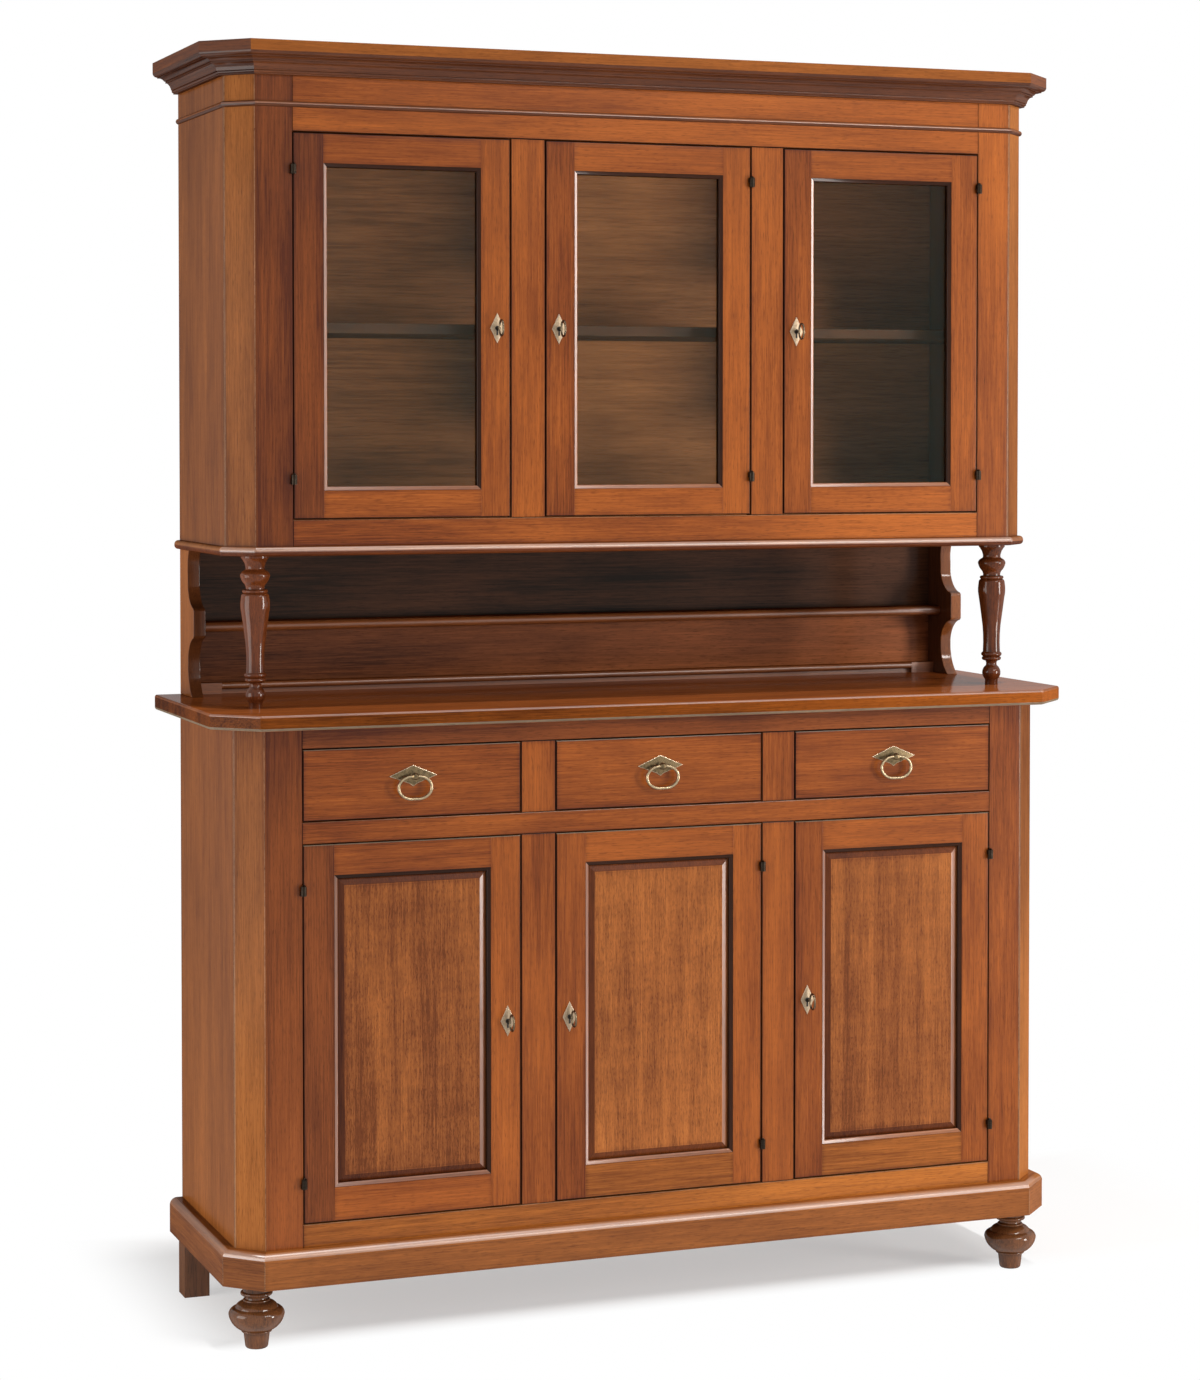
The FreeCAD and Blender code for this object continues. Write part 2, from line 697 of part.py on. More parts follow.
def rack():
    """Open plate rack: scrolled brackets, plate shelf, foot strip and columns."""
    edge = [(f"{BACK} - {reach} * bracket_reach", f"{TOP_HIGH} + {up} * rack_height", *swell)
            for reach, up, *swell in BRACKET_SHARES]
    front_edge = []
    for index in range(len(edge) - 1, -1, -1):
        swell = edge[index - 1][2:] if index else ()
        front_edge.append(edge[index][:2] + tuple(swell))
    outline = [(BACK, TOP_HIGH), (BACK, RACK_HIGH)] + front_edge
    bracket = padded("rack_bracket", "YZ_Plane", outline, f"-({SIDE})", f"-({SIDE}) + bracket_thickness")
    sub_part("rack_brackets", *pair(bracket))

    inside = f"({SIDE} - bracket_thickness)"
    shelf_low = f"({TOP_HIGH} + plate_shelf_rise)"
    shelf_high = f"({shelf_low} + plate_shelf_thickness)"
    shelf_front = f"({BACK} - plate_shelf_depth)"
    nose = [
        (INNER_BACK, shelf_low),
        (INNER_BACK, shelf_high),
        (f"{shelf_front} + plate_shelf_nose", shelf_high, ROUND_NOSE_SHARE),
        (f"{shelf_front} + plate_shelf_nose", shelf_low),
    ]
    shelf = padded("plate_shelf_board", "YZ_Plane", nose, f"-{inside}", inside)
    strip_front = f"({INNER_BACK} - strip_depth)"
    strip_high = f"({TOP_HIGH} + strip_height)"
    strip_step = f"({TOP_HIGH} + strip_foot_height)"
    section = [
        (INNER_BACK, TOP_HIGH),
        (INNER_BACK, strip_high),
        (f"{strip_front} + strip_foot_recess / 2", strip_high, ROUND_NOSE_SHARE),
        (f"{strip_front} + strip_foot_recess / 2", strip_step),
        (f"{strip_front} + strip_foot_recess", strip_step),
        (f"{strip_front} + strip_foot_recess", TOP_HIGH),
    ]
    strip_half = f"({inside} - strip_end_length)"
    strip = padded("rack_strip", "YZ_Plane", section, f"-{strip_half}", strip_half)
    strip_end = board("rack_strip_end", (f"-{inside}", f"-{strip_half}"), (strip_front, INNER_BACK),
                      (TOP_HIGH, strip_high))
    sub_part("plate_shelf", shelf, strip, *pair(strip_end))

    column = turned("column", "rack_height", "column_diameter", COLUMN_SHARES)
    place(column, f"-({SIDE} - column_inset_side)", f"{HUTCH_FRONT} + column_inset_front", TOP_HIGH)
    sub_part("columns", *pair(column))


def hutch_boards():
    """Floor slab, face frame, backs and ceiling of the hutch."""
    floor_plan = whole_plan(HUTCH_FRONT, "floor_projection", BACK)
    slab = padded("hutch_floor", "XY_Plane", floor_plan, RACK_HIGH, HUTCH_LOW)
    sub_part("hutch_floor", rounded(slab, "floor_edge_radius"))
    rails = [
        frame_rail("hutch_bottom_rail", HUTCH_FRONT, HUTCH_LOW, HUTCH_DOOR_LOW),
        frame_rail("hutch_frieze_rail", HUTCH_FRONT, HUTCH_DOOR_HIGH, HUTCH_HIGH),
    ]
    uprights = pair(mullion("hutch_mullion", HUTCH_FRONT, HUTCH_DOOR_LOW, HUTCH_DOOR_HIGH))
    sub_part("hutch_face_frame", *rails, *uprights)
    wall = (f"-{INNER_SIDE}", INNER_SIDE)
    rack_wall = (f"-({SIDE} - bracket_thickness)", f"{SIDE} - bracket_thickness")
    upper = board("hutch_back", wall, (INNER_BACK, BACK), (HUTCH_LOW, HUTCH_HIGH))
    lower = board("rack_back", rack_wall, (INNER_BACK, BACK), (TOP_HIGH, RACK_HIGH))
    sub_part("hutch_back_panels", upper, lower)
    ceiling = f"({HUTCH_DOOR_HIGH} + ceiling_rise)"
    plan = whole_plan(HUTCH_FRONT, "-board_thickness", INNER_BACK)
    sub_part("hutch_ceiling_board", padded("hutch_ceiling_board", "XY_Plane", plan, ceiling,
                                           f"{ceiling} + inner_board_thickness"))


def cornice():
    """Cornice of five mitred lengths, the bead below it and the dust cap inside it."""
    section = [(f"{out} * cornice_projection", f"{up} * cornice_height", *swell)
               for out, up, *swell in CORNICE_SHARES]
    low = f"({OVERALL_HIGH} - cornice_height)"
    runs = moulding("cornice", HUTCH_FRONT, low, OVERALL_HIGH, "cornice_projection", section)
    bead_low = f"({HUTCH_DOOR_HIGH} + bead_rise)"
    half_round = [("0", "0", ROUND_NOSE_SHARE), ("0", "bead_height")]
    bead = moulding("bead", HUTCH_FRONT, bead_low, f"{bead_low} + bead_height", "bead_projection", half_round)
    cap = padded("dust_cap", "XY_Plane", whole_plan(HUTCH_FRONT, "0", BACK), HUTCH_HIGH, OVERALL_HIGH)
    sub_part("cornice", *runs, *bead, cap)


UNITS = {
    "base": {
        "front": BASE_FRONT,
        "low": BASE_DOOR_LOW,
        "high": BASE_DOOR_HIGH,
        "stile": "base_stile_width",
        "top": "base_door_top_rail",
        "bottom": "base_door_bottom_rail",
        "hinge_top": "base_hinge_top_distance",
        "hinge_bottom": "base_hinge_bottom_distance",
    },
    "hutch": {
        "front": HUTCH_FRONT,
        "low": HUTCH_DOOR_LOW,
        "high": HUTCH_DOOR_HIGH,
        "stile": "hutch_stile_width",
        "top": "hutch_door_top_rail",
        "bottom": "hutch_door_bottom_rail",
        "hinge_top": "hutch_hinge_top_distance",
        "hinge_bottom": "hutch_hinge_bottom_distance",
    },
}
# Bay, its step from the middle, and the side that its door hangs on
BAYS = [("left", -1, -1), ("middle", 0, 1), ("right", 1, 1)]


def bent_ring(name, width, height, diameter, straight):
    """Oval ring of bent wire that hangs from the middle of its straight upper stretch."""
    # A straight stretch, large arcs of 45 degrees above and below, and side arcs of 90 degrees
    pin = f"({straight} / 2)"
    wide = f"({width} / 2)"
    tall = f"({height} / 2)"
    shift = f"(({wide} - {pin} - {tall}) / (2 - sqrt(2)))"
    side_radius = f"({tall} - {shift} * {MITRE})"
    shoulder_x = f"({wide} - {side_radius} * (1 - 1 / sqrt(2)))"
    shoulder_z = f"({side_radius} / sqrt(2))"
    path = [
        ("0", "0"),
        (f"-{pin}", "0", EIGHTH_ROUND_SHARE),
        (f"-{shoulder_x}", f"{shoulder_z} - {tall}", QUARTER_ROUND_SHARE),
        (f"-{shoulder_x}", f"-{shoulder_z} - {tall}", EIGHTH_ROUND_SHARE),
        (f"-{pin}", f"-2 * {tall}"),
        (pin, f"-2 * {tall}", EIGHTH_ROUND_SHARE),
        (shoulder_x, f"-{shoulder_z} - {tall}", QUARTER_ROUND_SHARE),
        (shoulder_x, f"{shoulder_z} - {tall}", EIGHTH_ROUND_SHARE),
        (pin, "0"),
    ]
    ring = doc.addObject("PartDesign::Body", name)
    spine = sketch_on(ring, f"{name}_path", "XZ_Plane")
    draw(spine, path)
    wire = sketch_on(ring, f"{name}_section", "YZ_Plane")
    wire.addGeometry(Part.Circle(FreeCAD.Vector(), FreeCAD.Vector(0, 0, 1), value(f"{diameter} / 2")))
    wire.addConstraint(Sketcher.Constraint("Coincident", 0, 3, -1, 1))
    radius = wire.addConstraint(Sketcher.Constraint("Radius", 0, value(f"{diameter} / 2")))
    wire.setExpression(f"Constraints[{radius}]", tied(f"{diameter} / 2"))
    bent = ring.newObject("PartDesign::AdditivePipe", f"{name}_bent")
    bent.Profile = wire
    bent.Spine = (spine, [f"Edge{number}" for number in range(1, len(path) + 1)])
    ring.Tip = bent
    return ring


def hinge_halves(name, x, front, middle, side):
    """Lower half with its pin for the frame, and upper half with its bore for the door."""
    axis_y = f"({front} - hinge_diameter / 2 - hinge_stand_off)"
    low = f"({middle} - hinge_half_height)"
    lug_reach = "hinge_diameter / 2"

    def half(part, lug_side, z_low):
        barrel = rod(f"{name}_{part}_barrel", "hinge_diameter", x, axis_y, z_low, "hinge_half_height", "z")
        lug = board(f"{name}_{part}_lug", across(x, lug_side, "hinge_lug_gap", lug_reach), (axis_y, front),
                    (z_low, f"{z_low} + hinge_half_height"))
        return joined(f"{name}_{part}", barrel, lug)

    frame_half = half("frame_half", side, low)
    pin = rod(f"{name}_pin", "hinge_pin_diameter", x, axis_y, middle, "hinge_pin_height", "z")
    door_low = f"({middle} + running_clearance)"
    bore = rod(f"{name}_bore", "hinge_pin_diameter + 2 * running_clearance", x, axis_y,
               f"{door_low} - cut_overrun", "cut_overrun + hinge_pin_height + running_clearance", "z")
    door_half = cut(f"{name}_door_half_bored", half("door_half", -side, door_low), bore)
    return joined(f"{name}_with_pin", frame_half, pin), door_half


def fielded_panel(name, x, front, z):
    """Raised panel whose bevels run down to a thin rim."""
    field = f"({front} + panel_recess)"
    rim = f"({field} + panel_bevel_depth)"
    wedge = doc.addObject("Part::Wedge", f"{name}_field")
    bounds = {
        "Xmin": f"{x[0]} + panel_bevel_width", "Xmax": f"{x[1]} - panel_bevel_width",
        "X2min": x[0], "X2max": x[1], "Ymin": field, "Ymax": rim,
        "Zmin": f"{z[0]} + panel_bevel_width", "Zmax": f"{z[1]} - panel_bevel_width",
        "Z2min": z[0], "Z2max": z[1],
    }
    for size, formula in bounds.items():
        wedge.setExpression(size, tied(formula))
    rim_board = board(f"{name}_rim", x, (rim, f"{rim} + panel_rim_thickness"), z)
    return joined(name, wedge, rim_board)


def lock(name, centre, side, front, middle):
    """Surface lock on the back of the lock stile: case, escutcheon, key and bolt."""
    edge = "bay_width / 2 - door_gap - lock_edge_inset"
    x = f"({centre} + {side} * (bay_width / 2 - lock_backset))"
    inside = f"({front} + door_thickness)"
    case_x = (f"{edge} - lock_width", edge)
    case_z = (f"{middle} - lock_height / 2", f"{middle} + lock_height / 2")
    case_y = (inside, f"{inside} + lock_depth")
    outer = board(f"{name}_case_outer", across(centre, side, *case_x), case_y, case_z)
    hollow = board(f"{name}_case_hollow",
                   across(centre, side, f"{case_x[0]} + lock_wall", f"{case_x[1]} - lock_wall"),
                   (f"{case_y[0]} + lock_wall", f"{case_y[1]} - lock_wall"),
                   (f"{case_z[0]} + lock_wall", f"{case_z[1]} - lock_wall"))
    bolt_y = (f"{inside} + (lock_depth - bolt_thickness) / 2",
              f"{inside} + (lock_depth + bolt_thickness) / 2")
    bolt_z = (f"{middle} + bolt_rise", f"{middle} + bolt_rise + bolt_height")
    slot_x = across(centre, side, f"{edge} - lock_wall - bolt_clearance", f"{edge} + lock_wall")
    slot = board(f"{name}_bolt_slot", slot_x,
                 (f"{bolt_y[0]} - bolt_clearance", f"{bolt_y[1]} + bolt_clearance"),
                 (f"{bolt_z[0]} - bolt_clearance", f"{bolt_z[1]} + bolt_clearance"))
    bore_diameter = "key_diameter + 2 * running_clearance"
    bore = rod(f"{name}_key_bore", bore_diameter, x, f"{front} - cut_overrun", middle,
               "door_thickness + lock_depth + 2 * cut_overrun", "y")
    case = cut(f"{name}_case", outer, hollow, slot, bore)
    plate = padded(f"{name}_escutcheon_plate", "XZ_Plane", [
        (x, f"{middle} - escutcheon_height / 2"),
        (f"{x} + escutcheon_width / 2", middle),
        (x, f"{middle} + escutcheon_height / 2"),
        (f"{x} - escutcheon_width / 2", middle),
    ], f"-({front})", f"-({front}) + escutcheon_thickness")
    plate_bore = rod(f"{name}_plate_bore", bore_diameter, x, f"{front} - cut_overrun", middle,
                     "2 * cut_overrun", "y")
    escutcheon = cut(f"{name}_escutcheon", plate, plate_bore)
    bolt = board(f"{name}_bolt", across(centre, side, f"{edge} - bolt_length", edge), bolt_y, bolt_z)

    shank_end = f"({front} - escutcheon_thickness - key_shank_length)"
    shank = rod(f"{name}_key_shank", "key_diameter", x, shank_end, middle,
                f"{inside} + lock_depth - ({shank_end})", "y")
    bow = bent_ring(f"{name}_key_bow", "key_bow_width", "key_bow_length", "key_bow_wire", "key_bow_seat")
    bow.Placement = FreeCAD.Placement(FreeCAD.Vector(), FreeCAD.Rotation(FreeCAD.Vector(1, 1, 1), -120))
    place(bow, x, shank_end, middle)
    bit_y = (f"{inside} + key_bit_inset", f"{inside} + lock_depth - key_bit_inset")
    bit = board(f"{name}_key_bit", (f"{x} - key_bit_height / 2", f"{x} + key_bit_height / 2"), bit_y,
                (f"{middle} - key_bit_reach", middle))
    key = joined(f"{name}_key", joined(f"{name}_key_head", shank, bow), bit)
    return case, escutcheon, bolt, key, x


def door(unit, bay, step, hinge_side):
    """One door with its frame, panel or pane, hinges, lock, key and bolt; returns its frame-side hinges."""
    size = UNITS[unit]
    name = f"{unit}_{bay}_door"
    front = size["front"]
    centre = f"({step} * {BAY_STEP})"
    y = (front, f"{front} + door_thickness")
    low = f"({size['low']} + door_gap)"
    high = f"({size['high']} - door_gap)"
    middle = f"(({size['low']} + {size['high']}) / 2)"
    outer = "(bay_width / 2 - door_gap)"
    inner = f"({outer} - {size['stile']})"
    case, escutcheon, bolt, key, key_x = lock(name, centre, -hinge_side, front, middle)
    hinge_stile = board(f"{name}_hinge_stile", across(centre, hinge_side, inner, outer), y, (low, high))
    lock_board = board(f"{name}_lock_board", across(centre, -hinge_side, inner, outer), y, (low, high))
    keyhole = rod(f"{name}_keyhole", "keyhole_diameter", key_x, f"{front} - cut_overrun", middle,
                  "door_thickness + 2 * cut_overrun", "y")
    lock_stile = cut(f"{name}_lock_stile", lock_board, keyhole)
    rail_x = (f"{centre} - {inner}", f"{centre} + {inner}")
    opening_z = (f"{low} + {size['bottom']} - door_gap", f"{high} - {size['top']} + door_gap")
    bottom_rail = board(f"{name}_bottom_rail", rail_x, y, (low, opening_z[0]))
    top_rail = board(f"{name}_top_rail", rail_x, y, (opening_z[1], high))
    sub_part(f"{name}_frame", hinge_stile, lock_stile, bottom_rail, top_rail)
    if unit == "base":
        sub_part(f"{name}_panel", fielded_panel(f"{name}_panel", rail_x, front, opening_z))
    else:
        glass_y = (f"{front} + glass_recess", f"{front} + glass_recess + glass_thickness")
        sub_part(f"{name}_glass", board(f"{name}_glass", rail_x, glass_y, opening_z))

    axis_x = f"({centre} + {hinge_side} * (bay_width - door_gap) / 2)"
    frame_halves = []
    door_halves = []
    ends = {
        "lower": f"({size['low']} + {size['hinge_bottom']})",
        "upper": f"({size['high']} - {size['hinge_top']})",
    }
    for end, hinge_z in ends.items():
        frame_half, door_half = hinge_halves(f"{name}_{end}_hinge", axis_x, front, hinge_z, hinge_side)
        frame_halves.append(frame_half)
        door_halves.append(door_half)
    sub_part(f"{name}_fittings", escutcheon, case, *door_halves)
    sub_part(f"{name}_key", key)
    sub_part(f"{name}_bolt", bolt)
    return frame_halves


def pull(name, centre):
    """Drawer pull: rhombic plate with an eyed post, and the ring that hangs in the eye."""
    height = f"(({DRAWER_LOW} + {DRAWER_HIGH}) / 2 + pull_rise)"
    outline = [(f"{centre} + {wide} * pull_plate_width", f"{height} + {tall} * pull_plate_height", *swell)
               for wide, tall, *swell in PULL_PLATE_SHARES]
    plate = padded(f"{name}_plate_outline", "XZ_Plane", outline, f"-({BASE_FRONT})",
                   f"-({BASE_FRONT}) + pull_plate_thickness")
    face = f"({BASE_FRONT} - pull_plate_thickness)"
    post = rod(f"{name}_post", "pull_post_diameter", centre, f"{face} - pull_post_reach", height,
               "pull_post_reach + pull_plate_thickness / 2", "y")
    eye = rod(f"{name}_eye", "ring_wire + 2 * running_clearance", f"{centre} - cut_overrun",
              f"{face} - pull_axis_reach", height, "2 * cut_overrun", "x")
    plate_and_post = joined(f"{name}_plate_and_post", plate, post)
    sub_part(f"{name}_plate", cut(f"{name}_plate", plate_and_post, eye))

    ring = bent_ring(f"{name}_ring_wire", "ring_width", "ring_height", "ring_wire", "ring_pin_length")
    place(ring, centre, f"{face} - pull_axis_reach", height)
    sub_part(f"{name}_ring", ring)


def drawer(bay, step):
    """One drawer: front, sides, back and bottom, and its pull."""
    name = f"{bay}_drawer"
    centre = f"({step} * {BAY_STEP})"
    outer = "(bay_width / 2 - drawer_gap)"
    inner = f"({outer} - drawer_side_thickness)"
    low = f"({DRAWER_LOW} + drawer_gap)"
    behind = f"({BASE_FRONT} + drawer_front_thickness)"
    rear = f"({INNER_BACK} - drawer_back_clearance)"
    side_high = f"{low} + drawer_side_height"
    bottom_z = (f"{low} + drawer_bottom_rise", f"{low} + drawer_bottom_rise + drawer_bottom_thickness")
    inside = (f"{centre} - {inner}", f"{centre} + {inner}")
    front = board(f"{name}_front", (f"{centre} - {outer}", f"{centre} + {outer}"), (BASE_FRONT, behind),
                  (low, f"{DRAWER_HIGH} - drawer_gap"))
    sides = []
    for hand in (-1, 1):
        side_x = across(centre, hand, inner, outer)
        sides.append(board(f"{name}_side_{hand}", side_x, (behind, rear), (low, side_high)))
    bottom = board(f"{name}_bottom", inside, (behind, rear), bottom_z)
    back = board(f"{name}_back", inside, (f"{rear} - drawer_side_thickness", rear), (bottom_z[1], side_high))
    sub_part(name, front, *sides, bottom, back)
    pull(f"{name}_pull", centre)


def export():
    """Check every object and write each sub-part's shape."""
    doc.recompute()
    for item in doc.Objects:
        if "Invalid" in item.State or "Error" in item.State:
            raise RuntimeError(f"{item.Label} failed: {item.State}")
    for piece in sub_parts:
        if piece.Shape.isNull() or not piece.Shape.isValid() or not piece.Shape.Solids:
            raise RuntimeError(f"{piece.Label} has no valid shape")
    os.makedirs("parts", exist_ok=True)
    for piece in sub_parts:
        piece.Shape.exportStep(f"parts/{piece.Label}.step")
    print(len(sub_parts), "sub-parts,", sum(len(piece.Shape.Solids) for piece in sub_parts), "solids")


feet()
plinth()
carcass("base", BASE_FRONT, "foot_height", BASE_HIGH)
base_boards()
tabletop()
rack()
carcass("hutch", HUTCH_FRONT, HUTCH_LOW, HUTCH_HIGH)
hutch_boards()
cornice()
frame_hinges = []
for unit_name in UNITS:
    for bay_name, bay_step, hinge_hand in BAYS:
        frame_hinges += door(unit_name, bay_name, bay_step, hinge_hand)
sub_part("hinge_frame_halves", *frame_hinges)
for bay_name, bay_step, hinge_hand in BAYS:
    drawer(bay_name, bay_step)
export()
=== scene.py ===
"""Looks of the dresser with hutch: boards with grain, mouldings, brass fittings and glass, round the
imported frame. Metres, +Z up, the front faces -Y."""
import math
import random

import bmesh
import bpy
from mathutils import Matrix, Vector


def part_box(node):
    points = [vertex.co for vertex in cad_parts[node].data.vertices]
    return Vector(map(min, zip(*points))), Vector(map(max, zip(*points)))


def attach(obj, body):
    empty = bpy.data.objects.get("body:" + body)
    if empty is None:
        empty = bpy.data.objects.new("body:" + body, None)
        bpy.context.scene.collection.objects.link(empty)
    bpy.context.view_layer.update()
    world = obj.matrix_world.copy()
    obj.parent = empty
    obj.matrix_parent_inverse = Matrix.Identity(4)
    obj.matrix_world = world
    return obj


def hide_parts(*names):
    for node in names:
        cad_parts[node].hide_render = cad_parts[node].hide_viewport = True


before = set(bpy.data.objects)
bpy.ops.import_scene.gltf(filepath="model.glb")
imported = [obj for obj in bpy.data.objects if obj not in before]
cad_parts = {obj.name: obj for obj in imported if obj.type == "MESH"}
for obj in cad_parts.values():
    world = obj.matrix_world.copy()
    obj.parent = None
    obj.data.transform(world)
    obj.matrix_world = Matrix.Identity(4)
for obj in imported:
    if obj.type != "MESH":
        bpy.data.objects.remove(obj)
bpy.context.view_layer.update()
GRAIN_SEED = 7
chance = random.Random(GRAIN_SEED)

# Sizes of the boards, as in the frame
BOARD = 0.022
CHAMFER = 0.044
DOOR_GAP = 0.0015
DRAWER_FRONT = 0.020
DRAWER_SIDE = 0.012
DRAWER_SIDE_HEIGHT = 0.096
DRAWER_BOTTOM_RISE = 0.010
DRAWER_BOTTOM = 0.006
GLASS_BACK = 0.013
HINGE_RADIUS = 0.005
HINGE_HALF = 0.008
NAIL_HEAD = 0.0008
RING_SWELL = 0.0003

# Softened edges and small mouldings
ARRIS = 0.0012
SEAM = 0.0004
RIM_ARRIS = 0.0016
POST_ARRIS = 0.0028
SHELF_ARRIS = 0.0015
THIN_ARRIS = 0.0005
STICKING = 0.0068
STICKING_DEPTH = 0.0082
STICKING_LIP = 0.0006
STICKING_FLAT = 0.0050
STICKING_FALL = 0.0020
STICKING_NOSE = 0.0062
GLAZING_BEAD = 0.007
ARC_STEPS = 8
QUARTER_ROUND_SHARE = 0.2071
MERGE_DISTANCE = 1e-6

# How much a face turns towards a direction, from 0 to 1
TOUCH, SLANT, HALF, SQUARE, FLAT = 0.1, 0.3, 0.5, 0.9, 0.95
# Angles in degrees above which an edge of a smooth piece stays sharp
CAST_SMOOTH, BOARD_SMOOTH, ROUND_SMOOTH = 25, 30, 40

FRONT, UP = Vector((0, -1, 0)), Vector((0, 0, 1))
GRAIN_X, GRAIN_Y, GRAIN_Z = Vector((1, 0, 0)), Vector((0, 1, 0)), Vector((0, 0, 1))
# Down and slightly to the right: the way out of the tabletop's shadow
UNDER_TOP = Vector((0.008, 0, -1))

BASE_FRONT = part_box("base_face_frame")[0].y
HUTCH_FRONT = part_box("hutch_face_frame")[0].y
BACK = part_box("base_back_panel")[1].y
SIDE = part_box("base_sides")[1].x
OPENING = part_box("base_face_frame")[1].x
RACK_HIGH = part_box("hutch_floor")[0].z
UNITS = {"base": BASE_FRONT, "hutch": HUTCH_FRONT}
# Bay and the side that its door hangs on
BAYS = {"left": -1, "middle": 1, "right": 1}

# Where a board's grain may start, in metres, and its tone, from dark to light
GRAIN_SHIFT = 4
BOARD_SHADES = (0.38, 0.68)
# Change of a board's tone per metre to the left of the middle: painted shade, darker where less light
# falls
PAINTED_SHADE_TO_LEFT = 0.8
# Tones by bay: partly the boards' own tone, partly painted shade that makes the left ones darker
DRAWER_SHADES = {"left": 0.0, "middle": 0.15, "right": 0.05}
PANEL_SHADES = {"left": 0.1, "middle": 0.5, "right": 0.35}
MULLION_SHADES = {"base": {-1: 0.35, 1: 0.45}, "hutch": {-1: 0.5, 1: 0.6}}
GRIME_BAND = 0.009
GROOVE_DEPTH = 0.0006
# Where most values of a noise lie
NOISE_SPAN = (0.3, 0.7)


# Materials

class Finish:
    """Nodes of a material or world under construction: each method adds a node and gives its output."""

    def __init__(self, name, library=bpy.data.materials):
        self.owner = library.new(name)
        self.owner.use_nodes = True
        self.tree = self.owner.node_tree
        self.shader = self.tree.nodes.get("Principled BSDF")

    def put(self, socket, value):
        if isinstance(value, bpy.types.NodeSocket):
            self.tree.links.new(value, socket)
        elif isinstance(value, tuple) and socket.type == "RGBA":
            socket.default_value = (*value, 1)
        else:
            socket.default_value = value

    def set(self, name, value):
        self.put(self.shader.inputs[name], value)

    def node(self, kind, inputs=(), **settings):
        made = self.tree.nodes.new(kind)
        for key, setting in settings.items():
            setattr(made, key, setting)
        for key, value in dict(inputs).items():
            self.put(made.inputs[key], value)
        return made

    def attribute(self, name, output):
        return self.node("ShaderNodeAttribute", attribute_name=name).outputs[output]

    def places(self):
        return self.node("ShaderNodeTexCoord").outputs["Object"]

    def noise(self, vector, along, across=None, detail=3.0, roughness=0.5, distortion=0.0):
        """Noise with so many waves per metre along and across the grain."""
        across = across or along
        stretched = self.node("ShaderNodeVectorMath", {0: vector, 1: (along, across, across)},
                              operation="MULTIPLY")
        look = {"Scale": 1.0, "Detail": detail, "Roughness": roughness, "Distortion": distortion}
        return self.node("ShaderNodeTexNoise", {"Vector": stretched.outputs[0], **look}).outputs[0]

    def levels(self, value, low=0.0, high=1.0, span=NOISE_SPAN):
        """Value that runs from low to high while another one runs through a span."""
        return self.node("ShaderNodeMapRange", {"Value": value, "From Min": span[0], "From Max": span[1],
                                                "To Min": low, "To Max": high}).outputs[0]

    def maths(self, operation, first, second):
        return self.node("ShaderNodeMath", {0: first, 1: second}, operation=operation).outputs[0]

    def total(self, *values):
        result = values[0]
        for value in values[1:]:
            result = self.maths("ADD", result, value)
        return result

    def tint(self, share, first, second):
        mixed = self.node("ShaderNodeMix", data_type="RGBA")
        sockets = {socket.identifier: socket for socket in mixed.inputs}
        for key, value in (("Factor_Float", share), ("A_Color", first), ("B_Color", second)):
            self.put(sockets[key], value)
        return next(socket for socket in mixed.outputs if socket.identifier == "Result_Color")

    def bump(self, height, strength, distance):
        inputs = {"Height": height, "Strength": strength, "Distance": distance}
        self.set("Normal", self.node("ShaderNodeBump", inputs).outputs[0])

    def blend(self, share, first, second):
        """Show a mix of two shaders."""
        mixed = self.node("ShaderNodeMixShader", {0: share, 1: first.outputs[0], 2: second.outputs[0]})
        output = next(node for node in self.tree.nodes if node.bl_idname.startswith("ShaderNodeOutput"))
        self.put(output.inputs["Surface"], mixed.outputs[0])

    def seen(self):
        """Share that is 1 for rays of the camera, of gloss and of glass."""
        path = self.node("ShaderNodeLightPath").outputs
        shining = self.maths("MAXIMUM", path["Is Camera Ray"], path["Is Glossy Ray"])
        return self.maths("MAXIMUM", shining, path["Is Transmission Ray"])


def thousandths(*colours):
    """Colours whose parts were given in thousandths."""
    return [tuple(part / 1000 for part in colour) for colour in colours]


